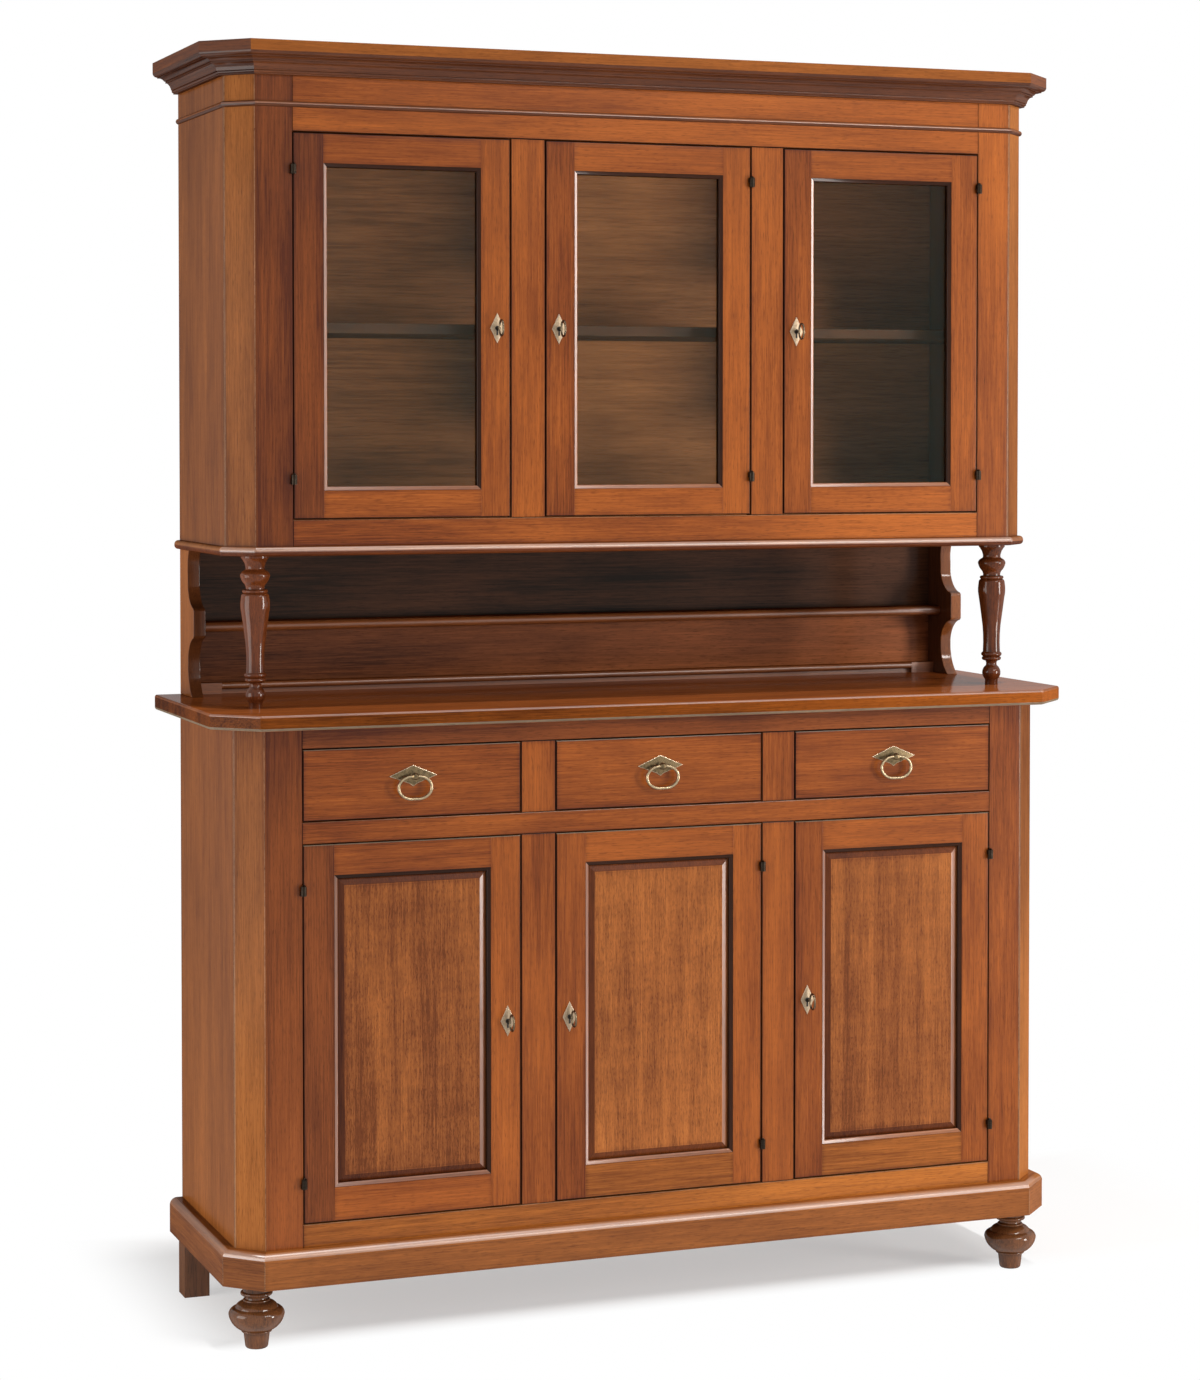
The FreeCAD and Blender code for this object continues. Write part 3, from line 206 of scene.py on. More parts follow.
def wood(name, dark, light, figure=0.0, gloss=1.0, rough=0.22, ior=1.28, side_gloss=0.06):
    """Stained, lacquered wood: blotches, long streaks, fine fibres and short pores along the grain, darker
    towards a board's edges, a board's tone that in places also carries painted shade and light, and for a
    figured veneer ribbons and flecks. Gloss, rough and ior are those of the lacquer, which shines less
    seen from the side."""
    finish = Finish(name)
    dark, light = thousandths(dark, light)
    grain = finish.attribute("grain", "Vector")
    board = finish.attribute("tone", "Fac")
    rim = finish.attribute("rim", "Fac")
    blotches = finish.noise(grain, 2.6, 10, detail=4, roughness=0.6)
    streaks = finish.noise(grain, 1.3, 46, detail=4, roughness=0.6, distortion=0.6)
    fibres = finish.noise(grain, 11, 430, detail=3, roughness=0.65)
    pores = finish.noise(grain, 60, 1100, detail=1)
    rim_darkening = -0.16
    tone = finish.total(
        finish.levels(blotches, 0.20, 0.56),
        finish.levels(streaks, -0.10, 0.12),
        finish.levels(fibres, -0.16, 0.20),
        # the board's tone, with painted shade and light laid over it in places
        finish.levels(board, -0.20, 0.24, span=(0, 1)),
        finish.maths("MULTIPLY", finish.maths("MULTIPLY", rim, rim), rim_darkening),
    )
    if figure:
        ribbons = finish.noise(grain, 0.8, 26, detail=2, distortion=0.4)
        flecks = finish.noise(grain, 70, 430, detail=3, roughness=0.7, distortion=0.6)
        ripples = finish.noise(grain, 38, 8, detail=2)
        specks = finish.noise(grain, 150, 560, detail=2)
        figure_span, speck_span = (0.32, 0.68), (0.54, 0.70)
        tone = finish.total(
            tone,
            finish.levels(ribbons, -figure, figure, figure_span),
            finish.levels(flecks, -figure, figure, figure_span),
            finish.levels(ripples, -figure / 2, figure / 2),
            finish.levels(specks, 0, -2 * figure, speck_span),
        )
    colour = finish.tint(finish.levels(tone, span=(0, 1)), dark, light)
    pore_span, pore_depth, pore_share = (0.58, 0.70), 0.45, 0.4
    pitted = finish.levels(pores, 0, pore_depth, pore_span)
    finish.set("Base Color", finish.tint(pitted, colour, tuple(part * pore_share for part in dark)))
    finish.set("Roughness", finish.levels(fibres, 0.42, 0.56))
    finish.set("Specular IOR Level", 0.0)
    facing = finish.node("ShaderNodeLayerWeight", {"Blend": 0.5}).outputs["Facing"]
    turned_away = (0.45, 0.80)
    finish.set("Coat Weight", finish.levels(facing, gloss, side_gloss, turned_away))
    finish.set("Coat IOR", ior)
    finish.set("Coat Roughness", rough)
    fibre_share = 0.4
    relief = finish.maths("SUBTRACT", finish.maths("MULTIPLY", fibres, fibre_share), pitted)
    finish.bump(relief, strength=0.15, distance=0.0004)
    return finish.owner


def metal(name, bright, dull, rough=0.3, patina=0.5):
    """Worn metal with darker patches of patina."""
    finish = Finish(name)
    bright, dull = thousandths(bright, dull)
    places = finish.places()
    patches = finish.noise(places, 230, detail=4, roughness=0.6)
    marks = finish.noise(places, 1400, detail=2)
    patina_span = (0.40, 0.66)
    smoother, rougher = 0.06, 0.16
    finish.set("Base Color", finish.tint(finish.levels(patches, 0, patina, patina_span), bright, dull))
    finish.set("Metallic", 1.0)
    finish.set("Roughness", finish.levels(patches, rough - smoother, rough + rougher))
    finish.bump(marks, strength=0.12, distance=0.0002)
    return finish.owner


def window_glass():
    """Clear pane, a touch green and a little uneven, that lets the lamps through."""
    finish = Finish("window_glass")
    cast = finish.noise(finish.places(), 3, detail=1)
    finish.set("Base Color", finish.tint(cast, (0.76, 0.90, 0.89), (0.82, 0.92, 0.90)))
    finish.set("Transmission Weight", 1.0)
    finish.set("Specular Tint", (0.55, 0.95, 0.92))
    finish.set("IOR", 1.22)
    finish.set("Roughness", 0.0)
    path = finish.node("ShaderNodeLightPath").outputs
    clear = finish.node("ShaderNodeBsdfTransparent", {"Color": (0.94, 0.97, 0.96)})
    through = finish.maths("MAXIMUM", path["Is Shadow Ray"], path["Is Diffuse Ray"])
    finish.blend(through, finish.shader, clear)
    return finish.owner


def keyhole_shade_finish():
    """Painted shade that stands for the unlit depth of a keyhole."""
    finish = Finish("keyhole_painted_shade")
    shade = finish.noise(finish.places(), 900)
    finish.set("Base Color", finish.tint(shade, (0.006, 0.005, 0.004), (0.02, 0.014, 0.009)))
    finish.set("Roughness", 0.8)
    return finish.owner


case_wood = wood("case_wood", (112, 32, 8), (388, 128, 28))
frame_wood = wood("frame_wood", (105, 21, 5), (460, 126, 19))
pale_frame_wood = wood("pale_frame_wood", (150, 40, 7), (600, 195, 30))
# Frame wood darkened as painted shade: the left stiles and the rail under the tabletop
shaded_frame_wood = wood("shaded_frame_wood", (70, 15, 5), (320, 86, 17))
# Case wood made lighter as painted light on the chamfers, which catch more light than the sides
lit_chamfer_wood = wood("lit_chamfer_wood", (125, 37, 10), (420, 146, 36), gloss=0.3)
fascia_wood = wood("fascia_wood", (112, 31, 8), (390, 126, 26), gloss=0.4)
top_wood = wood("top_wood", (120, 28, 8), (460, 125, 24), rough=0.12, ior=1.34, side_gloss=0.28)
top_edge_wood = wood("top_edge_wood", (37, 8, 2), (332, 86, 11), gloss=0.25)
moulding_wood = wood("moulding_wood", (60, 15, 5), (250, 73, 17), rough=0.16, ior=1.36)
# Dark wood as painted shade in the cornice's coves and under its bead
shaded_cove_wood = wood("shaded_cove_wood", (28, 8, 4), (150, 45, 14), rough=0.18, ior=1.32)
# Upward roundings of the plinth and hutch floor: real gloss, and a lighter colour as a painted highlight
highlight_nose_wood = wood("highlight_nose_wood", (130, 40, 12), (440, 170, 50), rough=0.37, ior=2.10)
nose_wood = wood("nose_wood", (85, 20, 5), (340, 105, 23), rough=0.36, ior=1.75)
# Near-black wood as painted shade on the sticking faces turned from the light, and the glazing beads
shaded_sticking_wood = wood("shaded_sticking_wood", (10, 4, 2), (52, 16, 6), rough=0.18, ior=1.22)
# Lighter, glossier wood on moulding faces turned to the light: real gloss with a painted highlight
polished_highlight_moulding = wood("polished_highlight_moulding", (100, 28, 9), (380, 125, 34), rough=0.30, ior=1.70)
turned_wood = wood("turned_wood", (18, 4, 2), (230, 58, 14), rough=0.09, ior=1.33)
foot_wood = wood("foot_wood", (14, 5, 3), (270, 98, 32), rough=0.08, ior=1.40)
panel_veneer = wood("panel_veneer", (115, 28, 6), (500, 163, 34), figure=0.11)
# Dark wood as painted shade on the panel slopes turned from the light and under the hutch floor
shaded_bevel_wood = wood("shaded_bevel_wood", (45, 10, 4), (200, 52, 12), ior=1.24)
back_wood = wood("back_wood", (155, 47, 17), (520, 182, 60), gloss=0.3)
# Back wood made much lighter as painted light inside the glazed cabinet, where little light reaches
lit_hutch_back_wood = wood("lit_hutch_back_wood", (250, 80, 28), (850, 290, 98), gloss=0.3)
# Back wood darkened as painted shade of the hutch on the rack, and darker still above the plate shelf
rack_wood = wood("rack_wood", (50, 16, 7), (390, 122, 42), gloss=0.6, rough=0.18)
deep_rack_shade_wood = wood("deep_rack_shade_wood", (12, 7, 4), (125, 48, 22), gloss=0.6, rough=0.18)
# Dark wood as painted shade on the brackets and cupboard shelf fronts; a lighter, glossier one as a
# painted highlight on the right bracket's front edges
shaded_bracket_wood = wood("shaded_bracket_wood", (34, 10, 4), (140, 42, 12), rough=0.16, ior=1.32)
lit_bracket_edge_wood = wood("lit_bracket_edge_wood", (85, 24, 7), (340, 108, 26), rough=0.12, ior=1.45)
shelf_wood = wood("shelf_wood", (70, 22, 8), (260, 88, 28), gloss=0.4)
inside_wood = wood("inside_wood", (330, 190, 90), (560, 370, 200), gloss=0.0)
dark_edge = wood("dark_edge", (12, 5, 3), (50, 16, 6), gloss=0.3)
# Lighter arrises: wear, with a painted highlight where they catch the light
rubbed_and_glint_edge = wood("rubbed_and_glint_edge", (120, 45, 17), (380, 180, 80), figure=0.2, gloss=0.5, rough=0.2,
                   ior=1.36)
# Pale edge: a painted reflection of the floor on the tabletop's lower bevel, and wear with a painted
# highlight on the top arrises of the base doors and drawers
worn_and_glint_edge = wood("worn_and_glint_edge", (110, 75, 46), (280, 200, 130), gloss=0.4, rough=0.2, ior=1.4)
aged_brass = metal("aged_brass", (210, 148, 78), (50, 38, 22), rough=0.26, patina=0.8)
ring_brass = metal("ring_brass", (420, 325, 200), (150, 114, 70), rough=0.24, patina=0.5)
rubbed_brass = metal("rubbed_brass", (620, 500, 350), (260, 200, 130), rough=0.20, patina=0.5)
pale_brass = metal("pale_brass", (400, 300, 200), (190, 140, 92), rough=0.34, patina=0.7)
key_brass = metal("key_brass", (180, 135, 85), (45, 34, 22), rough=0.15, patina=0.6)
bronze = metal("dark_bronze", (30, 22, 16), (10, 8, 6), rough=0.30)
steel = metal("plain_steel", (550, 540, 520), (300, 290, 280), rough=0.35, patina=0.4)
glass = window_glass()
keyhole = keyhole_shade_finish()


# Mesh helpers

def with_grain(bm):
    """Give a mesh room for the grain's direction, the board's tone, which in places also carries painted
    shade and light, and its grimy rim.
    """
    bm.loops.layers.float_vector.new("grain")
    bm.loops.layers.float.new("tone")
    bm.loops.layers.float.new("rim")
    return bm


def blank():
    return with_grain(bmesh.new())


def lay_grain(bm, faces, along, shade=None):
    """Write board coordinates, grain first, and the board's tone on the corners of its faces; a tone not
    given is random, with painted shade towards the left.
    """
    grain = bm.loops.layers.float_vector["grain"]
    tone = bm.loops.layers.float["tone"]
    side = UP if abs(along.z) < HALF else GRAIN_X
    across = along.cross(side).normalized()
    through = along.cross(across)
    shift = Vector([chance.uniform(-GRAIN_SHIFT, GRAIN_SHIFT) for _ in range(3)])
    if shade is None:
        middle = sum(face.calc_center_median().x for face in faces) / max(len(faces), 1)
        shade = chance.uniform(*BOARD_SHADES) + PAINTED_SHADE_TO_LEFT * min(middle, 0)
    for face in faces:
        for loop in face.loops:
            here = loop.vert.co
            loop[grain] = Vector((here.dot(along), here.dot(across), here.dot(through))) + shift
            loop[tone] = shade


def set_tone(bm, faces, shade):
    """Give some faces of a board another tone, here painted shade."""
    tone = bm.loops.layers.float["tone"]
    for face in faces:
        for loop in face.loops:
            loop[tone] = shade


def fade_tone(bm, faces, along, dark, light):
    """Let the tone of some faces rise from a dark place to a light place along a direction: painted shade
    and light.
    """
    tone = bm.loops.layers.float["tone"]
    for face in faces:
        for loop in face.loops:
            loop[tone] = (loop.vert.co.dot(along) - dark) / (light - dark)


def new_faces(bm, old):
    return [face for face in bm.faces if face not in old]


def once(items):
    """Each item once, in a fixed order, so that every run gives the same mesh."""
    return list(dict.fromkeys(items))


def of_kind(items, kind):
    return [item for item in items if isinstance(item, kind)]


def paint(faces, finish):
    """Give faces the finish at this place in their piece's list."""
    for face in faces:
        face.material_index = finish


def face_outward(bm):
    bmesh.ops.recalc_face_normals(bm, faces=bm.faces)


def raise_face(bm, corners, move):
    """Solid between a flat outline and its moved copy; gives the moved face."""
    face = bm.faces.new([bm.verts.new(corner) for corner in corners])
    made = bmesh.ops.extrude_face_region(bm, geom=[face])["geom"]
    bmesh.ops.translate(bm, verts=of_kind(made, bmesh.types.BMVert), vec=move)
    return of_kind(made, bmesh.types.BMFace)[0]


def soften(bm, edges, size, segments=2):
    """Round the chosen edges."""
    bmesh.ops.bevel(bm, geom=list(edges), offset=size, segments=segments, profile=0.5, affect="EDGES",
                    material=-1, clamp_overlap=True)


def rim_reach(place, low, high):
    """Distance of a place from the outer edges of a door or drawer front."""
    return min(place.x - low.x, high.x - place.x, place.z - low.z, high.z - place.z)


def add_board(bm, low, high, along, arris=ARRIS, finish=0, edge_finish=None, shade=None, front=None):
    """Square board between two corners, with softened edges that may have their own finish. The front's
    corners give a door or drawer front whose outer edges are softened more."""
    old = set(bm.faces)
    low, high = Vector(low), Vector(high)
    place = Matrix.Translation((low + high) / 2) @ Matrix.Diagonal((*(high - low), 1))
    made = bmesh.ops.create_cube(bm, size=1, matrix=place)
    edges = once(edge for vert in made["verts"] for edge in vert.link_edges)
    if front:
        outer = [edge for edge in edges if all(vert.co.y < low.y + SEAM for vert in edge.verts)
                 and rim_reach((edge.verts[0].co + edge.verts[1].co) / 2, *front) < SEAM]
        soften(bm, outer, RIM_ARRIS)
        sharp = math.radians(60)
        edges = once(edge for face in new_faces(bm, old) for edge in face.edges
                     if edge.calc_face_angle() > sharp)
    soften(bm, edges, arris)
    faces = sorted(new_faces(bm, old), key=lambda face: face.calc_area())
    lay_grain(bm, faces, along, shade)
    sides = 6
    paint(faces, finish)
    if edge_finish is not None:
        paint(faces[:-sides], edge_finish)
    return faces


def shade_rim(bm, low, high, dark, worn_and_glint):
    """Give the edges all round a door or drawer front a dark finish, and its top arris one for wear with a
    painted highlight.
    """
    lean = 0.2
    bm.normal_update()
    for face in bm.faces:
        if rim_reach(face.calc_center_median(), low, high) < RIM_ARRIS:
            top_arris = face.normal.y < -lean and face.normal.z > lean
            face.material_index = worn_and_glint if top_arris else dark


def grime_rims(bm, wide):
    """Mark a band along the edges of large flat faces, where polish and grime gather."""
    rim = bm.loops.layers.float["rim"]
    least_area, least_bands = 0.006, 3
    large = [face for face in bm.faces if len(face.verts) == 4 and face.calc_area() > least_area
             and min(edge.calc_length() for edge in face.edges) > least_bands * wide]
    if not large:
        return
    band = bmesh.ops.inset_individual(bm, faces=large, thickness=wide, use_even_offset=True,
                                      use_interpolate=True)["faces"]
    inner = {vert for face in large for vert in face.verts}
    for face in band:
        for loop in face.loops:
            loop[rim] = float(loop.vert not in inner)


def darken_grooves(bm, depth):
    """Mark the grooves of a turned piece for darkening, more the deeper they are, down to a full depth."""
    rim = bm.loops.layers.float["rim"]
    bm.normal_update()
    for vert in bm.verts:
        around = [edge.other_vert(vert).co for edge in vert.link_edges]
        middle = sum(around, Vector()) / len(around)
        hollow = (middle - vert.co).dot(vert.normal) / depth
        for loop in vert.link_loops:
            loop[rim] = min(max(hollow, 0), 1)


def swelled(corners):
    """Outline with arcs: a corner's third value is the swell to the next one, as a share of the chord."""
    points = []
    for index, corner in enumerate(corners):
        here = Vector(corner[:2])
        points.append(here)
        if len(corner) == 3:
            there = Vector(corners[(index + 1) % len(corners)][:2])
            chord = there - here
            share = corner[2]
            ratio = 1 / (8 * share) + share / 2
            outward = Vector((chord.y, -chord.x))
            centre = (here + there) / 2 + outward * (share - ratio)
            sweep = (here - centre).angle_signed(there - centre)
            for step in range(1, ARC_STEPS):
                turn = Matrix.Rotation(-sweep * step / ARC_STEPS, 2)
                points.append(centre + turn @ (here - centre))
    return points


def add_moulding(bm, profile, path, facing, closed=False, along=None, finish=0):
    """Sweep a closed profile (out, up) along a flat path, mitred at its corners; facing is its normal."""
    old = set(bm.faces)
    count = len(path)
    legs = count if closed else count - 1
    runs = [(path[(i + 1) % count] - path[i]).normalized() for i in range(legs)]

    def station(index):
        before = runs[index - 1] if closed or index else runs[0]
        after = runs[index] if closed or index < len(runs) else runs[-1]
        first, second = before.cross(facing), after.cross(facing)
        mitre = (first + second) / (1 + first.dot(second))
        columns = Matrix((mitre, mitre.cross(facing), facing)).transposed().to_4x4()
        return Matrix.Translation(path[index]) @ columns

    here = station(0)
    verts = [bm.verts.new(here @ Vector((out, 0, up))) for out, up in profile]
    edges = [bm.edges.new((verts[i - 1], verts[i])) for i in range(len(verts))]
    first_edges = edges
    for index in range(1, count):
        faces_before = set(bm.faces)
        there = station(index)
        made = bmesh.ops.extrude_edge_only(bm, edges=edges)["geom"]
        edges = of_kind(made, bmesh.types.BMEdge)
        bmesh.ops.transform(bm, matrix=there @ here.inverted(), verts=of_kind(made, bmesh.types.BMVert))
        here = there
        lay_grain(bm, new_faces(bm, faces_before), along or runs[index - 1])
    faces_before = set(bm.faces)
    if closed:
        bmesh.ops.bridge_loops(bm, edges=edges + first_edges)
        lay_grain(bm, new_faces(bm, faces_before), along or runs[-1])
    else:
        bmesh.ops.edgeloop_fill(bm, edges=first_edges)
        bmesh.ops.edgeloop_fill(bm, edges=edges)
        lay_grain(bm, new_faces(bm, faces_before), along or runs[0])
    paint(new_faces(bm, old), finish)


def add_turning(bm, profile, foot, axis, steps=24):
    """Lathe-turned shape from (radius, along) points, standing at a foot along an axis."""
    old = set(bm.faces)
    side = axis.orthogonal().normalized()
    verts = [bm.verts.new(foot + axis * along + side * radius) for radius, along in profile]
    edges = [bm.edges.new(two) for two in zip(verts, verts[1:])]
    bmesh.ops.spin(bm, geom=verts + edges, cent=foot, axis=axis, angle=math.tau, steps=steps,
                   use_merge=True)
    touched = once(vert for face in new_faces(bm, old) for vert in face.verts)
    bmesh.ops.remove_doubles(bm, verts=touched, dist=MERGE_DISTANCE)
    lay_grain(bm, new_faces(bm, old), axis)


def from_node(node, along, arris=0.0, shade=None):
    """Copy of a frame node's mesh with its triangles joined into faces and its sharp edges softened."""
    flat, sharp = math.radians(0.5), math.radians(40)
    bm = bmesh.new()
    bm.from_mesh(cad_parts[node].data)
    with_grain(bm)
    bmesh.ops.remove_doubles(bm, verts=bm.verts, dist=MERGE_DISTANCE)
    bmesh.ops.dissolve_limit(bm, angle_limit=flat, verts=bm.verts, edges=bm.edges)
    if arris:
        edges = [edge for edge in bm.edges if len(edge.link_faces) == 2]
        soften(bm, [edge for edge in edges if edge.calc_face_angle() > sharp], arris)
    lay_grain(bm, bm.faces, along, shade)
    return bm


def in_scene(name, data):
    """Object with this data, linked to the scene."""
    made = bpy.data.objects.new(name, data)
    bpy.context.scene.collection.objects.link(made)
    return made


def make_piece(bm, name, finishes, replaced=(), body="cabinet", slot="carcass_wood", smooth=0):
    """Turn a mesh into a piece that rides a body and stands for frame nodes."""
    face_outward(bm)
    if slot.endswith("wood"):
        grime_rims(bm, GRIME_BAND)
    mesh = bpy.data.meshes.new(name)
    bm.to_mesh(mesh)
    bm.free()
    if "custom_normal" in mesh.attributes:
        mesh.attributes.remove(mesh.attributes["custom_normal"])
    for finish in finishes:
        mesh.materials.append(finish)
    piece = in_scene(name, mesh)
    if smooth:
        mesh.shade_smooth()
        mesh.set_sharp_from_angle(angle=math.radians(smooth))
        piece.modifiers.new("even_shading", "WEIGHTED_NORMAL").keep_sharp = True
    else:
        mesh.shade_flat()
    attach(piece, body)
    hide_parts(*replaced)


def spot(x, y, z):
    return Vector((x, y, z))


def mirrored(points):
    return [spot(-point.x, point.y, point.z) for point in reversed(points)]


# Carcass

def outline(front, z):
    """Left half of a unit's plan, from the back to the front corner of the chamfer."""
    return [spot(-SIDE, BACK, z), spot(-SIDE, front + CHAMFER, z), spot(-SIDE + CHAMFER, front, z)]


def whole_outline(front, z):
    left = outline(front, z)
    return left + mirrored(left)


def case(unit):
    """Sides and corner posts of a unit: a side board, a chamfer board and a stile at each corner."""
    front = UNITS[unit]
    low, high = (corner.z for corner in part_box(f"{unit}_sides"))
    section = [(0, 0), (0, high - low), (-BOARD, high - low), (-BOARD, 0)]
    left = outline(front, low) + [spot(-OPENING, front, low)]
    bm = blank()
    for path in (left, mirrored(left)):
        add_moulding(bm, section, path, UP, along=GRAIN_Z)

    def plan(point):
        digits = 4
        return round(abs(point.x), digits), round(point.y, digits)

    corners = {plan(point) for point in left[1:3]}
    arrises = [edge for edge in bm.edges if all(plan(vert.co) in corners for vert in edge.verts)
               and plan(edge.verts[0].co) == plan(edge.verts[1].co)]
    soften(bm, arrises, POST_ARRIS, segments=3)
    face_outward(bm)
    # Finishes by place: the chamfers a lighter wood as painted light, the left stile a darker one as
    # painted shade, and the arrises one for wear with a painted highlight
    side, stile, arris, chamfer, shaded_stile = range(5)
    diagonal = 0.4
    for face in bm.faces:
        if face.calc_area() < POST_ARRIS * (high - low):
            face.material_index = arris
        elif face.normal.y < -SQUARE:
            face.material_index = stile
    chamfers = [face for face in bm.faces if abs(face.normal.x * face.normal.y) > diagonal]
    for face in chamfers:
        face.material_index = chamfer if face.material_index == side else arris
    stiles = [face for face in bm.faces if face.normal.y < -SQUARE]
    left_stile = [face for face in stiles if face.calc_center_median().x < 0]
    right_stile = [face for face in stiles if face.calc_center_median().x > 0]
    paint(left_stile, shaded_stile)
    # Painted shade and light: on the base the chamfers, left stile and left side darken upwards under the
    # tabletop and the right stile is set dark; on the hutch the chamfers and right stile lighten upwards
    if unit == "base":
        left_side = [face for face in bm.faces if face.normal.x < -SQUARE]
        fade_tone(bm, chamfers, UP, dark=0.85, light=0.40)
        fade_tone(bm, left_stile, UP, dark=1.05, light=0.17)
        fade_tone(bm, left_side, UP, dark=0.75, light=-0.27)
        set_tone(bm, right_stile, shade=0.12)
    else:
        fade_tone(bm, chamfers, UP, dark=1.35, light=2.60)
        fade_tone(bm, right_stile, UP, dark=1.25, light=2.60)
        set_tone(bm, left_stile, shade=0.0)
    make_piece(bm, f"{unit}_case", [case_wood, frame_wood, rubbed_and_glint_edge, lit_chamfer_wood, shaded_frame_wood],
               [f"{unit}_sides", f"{unit}_corner_posts"], smooth=BOARD_SMOOTH)


# Finishes of the front frames by place, and the looks of their rails from the lowest up: the direction in
# which the tone rises, its dark and light places along it, and the finish. The fades are painted shade:
# mostly darker towards the left, and on the base's top rail a darker wood, darker in the tabletop's shadow
FRAME_PLAIN, FRAME_EDGE, FRAME_RUBBED_AND_GLINT, FRAME_PALE, FRAME_SHADED = range(5)
RAIL_LOOKS = {
    "base": [(GRAIN_X, -0.85, 1.35, FRAME_PALE), (GRAIN_X, -4.2, 12, FRAME_PLAIN),
             (UNDER_TOP, -1.042, -1.014, FRAME_SHADED)],
    "hutch": [(GRAIN_X, -0.75, 0.95, FRAME_PLAIN), (GRAIN_X, -2.4, 1.6, FRAME_PLAIN)],
}


def front_frame(unit, *fronts):
    """Rails and uprights set round a unit's doors and drawers; the rails' upper edges are worn light, with
    a painted highlight.
    """
    front = UNITS[unit]
    levels = [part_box(f"{unit}_face_frame")[0].z]
    for node in fronts:
        levels += [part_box(node)[0].z - DOOR_GAP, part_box(node)[1].z + DOOR_GAP]
    levels.append(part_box(f"{unit}_face_frame")[1].z)
    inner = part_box("base_middle_door_frame")[1].x + DOOR_GAP
    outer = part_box("base_right_door_frame")[0].x - DOOR_GAP
    bm = blank()
    for low, high, (*fade, finish) in zip(levels[0::2], levels[1::2], RAIL_LOOKS[unit]):
        faces = add_board(bm, (-OPENING, front, low), (OPENING, front + BOARD, high), GRAIN_X,
                          finish=finish, edge_finish=FRAME_EDGE, shade=0.5)
        fade_tone(bm, faces, *fade)
        paint([face for face in faces if face.material_index == FRAME_EDGE and face.normal.z > SLANT],
              FRAME_RUBBED_AND_GLINT)
    for low, high in zip(levels[1::2], levels[2:-1:2]):
        for hand in (-1, 1):
            x = sorted((hand * inner, hand * outer))
            add_board(bm, (x[0], front, low), (x[1], front + BOARD, high), GRAIN_Z, edge_finish=FRAME_EDGE,
                      shade=MULLION_SHADES[unit][hand])
    finishes = [frame_wood, dark_edge, rubbed_and_glint_edge, pale_frame_wood, shaded_frame_wood]
    make_piece(bm, f"{unit}_front_frame", finishes, [f"{unit}_face_frame"])


def plinth():
    """Rounded plinth board in mitred lengths, and the glue blocks behind it."""
    low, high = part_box("plinth")
    reach = -SIDE - low.x
    tall = 0.061
    radius = 0.013
    flat = tall - radius
    section = swelled([(0, 0), (reach, 0), (reach, flat, QUARTER_ROUND_SHARE), (reach - radius, tall),
                       (0, tall)])
    bm = blank()
    add_moulding(bm, section, whole_outline(BASE_FRONT, low.z), UP)
    bend = math.radians(30)
    corners = [edge for edge in bm.edges if abs(edge.verts[0].co.z - edge.verts[1].co.z) > flat - SEAM
               and edge.calc_face_angle(0) > bend and all(abs(vert.co.y) < BACK for vert in edge.verts)]
    soften(bm, corners, ARRIS)
    face_outward(bm)
    # The upward faces of the rounding get a lighter, glossier wood, real gloss with a painted highlight,
    # and the corner arrises one for wear with a painted highlight
    nose, arris = 1, 2
    for face in bm.faces:
        if face.normal.z > TOUCH and face.calc_center_median().z < low.z + tall - SEAM:
            face.material_index = nose
        elif face.calc_area() < ARRIS * flat:
            face.material_index = arris
    block, rear_gap_share = 0.076, 1 / 3
    inner = SIDE - BOARD
    fore, rear = BASE_FRONT + BOARD, BACK - rear_gap_share * BOARD
    for hand in (-1, 1):
        x = sorted((hand * (inner - CHAMFER), hand * (inner - CHAMFER - block)))
        add_board(bm, (x[0], fore, low.z), (x[1], fore + block, high.z), GRAIN_Z)
        x = sorted((hand * inner, hand * (inner - block)))
        add_board(bm, (x[0], rear - block, low.z), (x[1], rear, high.z), GRAIN_Z)
    make_piece(bm, "plinth_boards", [case_wood, highlight_nose_wood, rubbed_and_glint_edge], ["plinth"],
               smooth=BOARD_SMOOTH)


def slab(node, name, plan, finishes, upper, lower, steps, slot="carcass_wood"):
    """Flat slab, rounded except behind, with finishes of its top, edge, nose and lower edge; its edge
    darkens towards the left as painted shade.
    """
    low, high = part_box(node)
    bm = blank()
    raise_face(bm, [spot(point.x, point.y, low.z) for point in plan], UP * (high.z - low.z))
    behind = BACK - ARRIS
    upright = [edge for edge in bm.edges if abs(edge.verts[0].co.z - edge.verts[1].co.z) > ARRIS
               and edge.verts[0].co.y < behind]
    soften(bm, upright, POST_ARRIS)

    def rim(level):
        return [edge for edge in bm.edges if all(abs(vert.co.z - level) < SEAM for vert in edge.verts)
                and not all(vert.co.y > behind for vert in edge.verts)]

    soften(bm, rim(high.z), upper, steps)
    soften(bm, rim(low.z), lower, steps)
    lay_grain(bm, bm.faces, GRAIN_X, shade=0.4)
    face_outward(bm)
    fade_tone(bm, [face for face in bm.faces if abs(face.normal.z) < TOUCH], GRAIN_X, dark=-0.8, light=0.8)
    # The tabletop's lower edge is a painted reflection of the floor; the hutch floor's nose is a painted
    # highlight and its lower edge painted shade
    edge, nose, under = 1, 2, 3
    for face in bm.faces:
        if abs(face.normal.z) < TOUCH and face.normal.y < SQUARE:
            face.material_index = edge
        elif TOUCH < face.normal.z < FLAT:
            face.material_index = nose
        elif -FLAT < face.normal.z < -TOUCH:
            face.material_index = under
    make_piece(bm, name, finishes, [node], slot=slot, smooth=ROUND_SMOOTH)


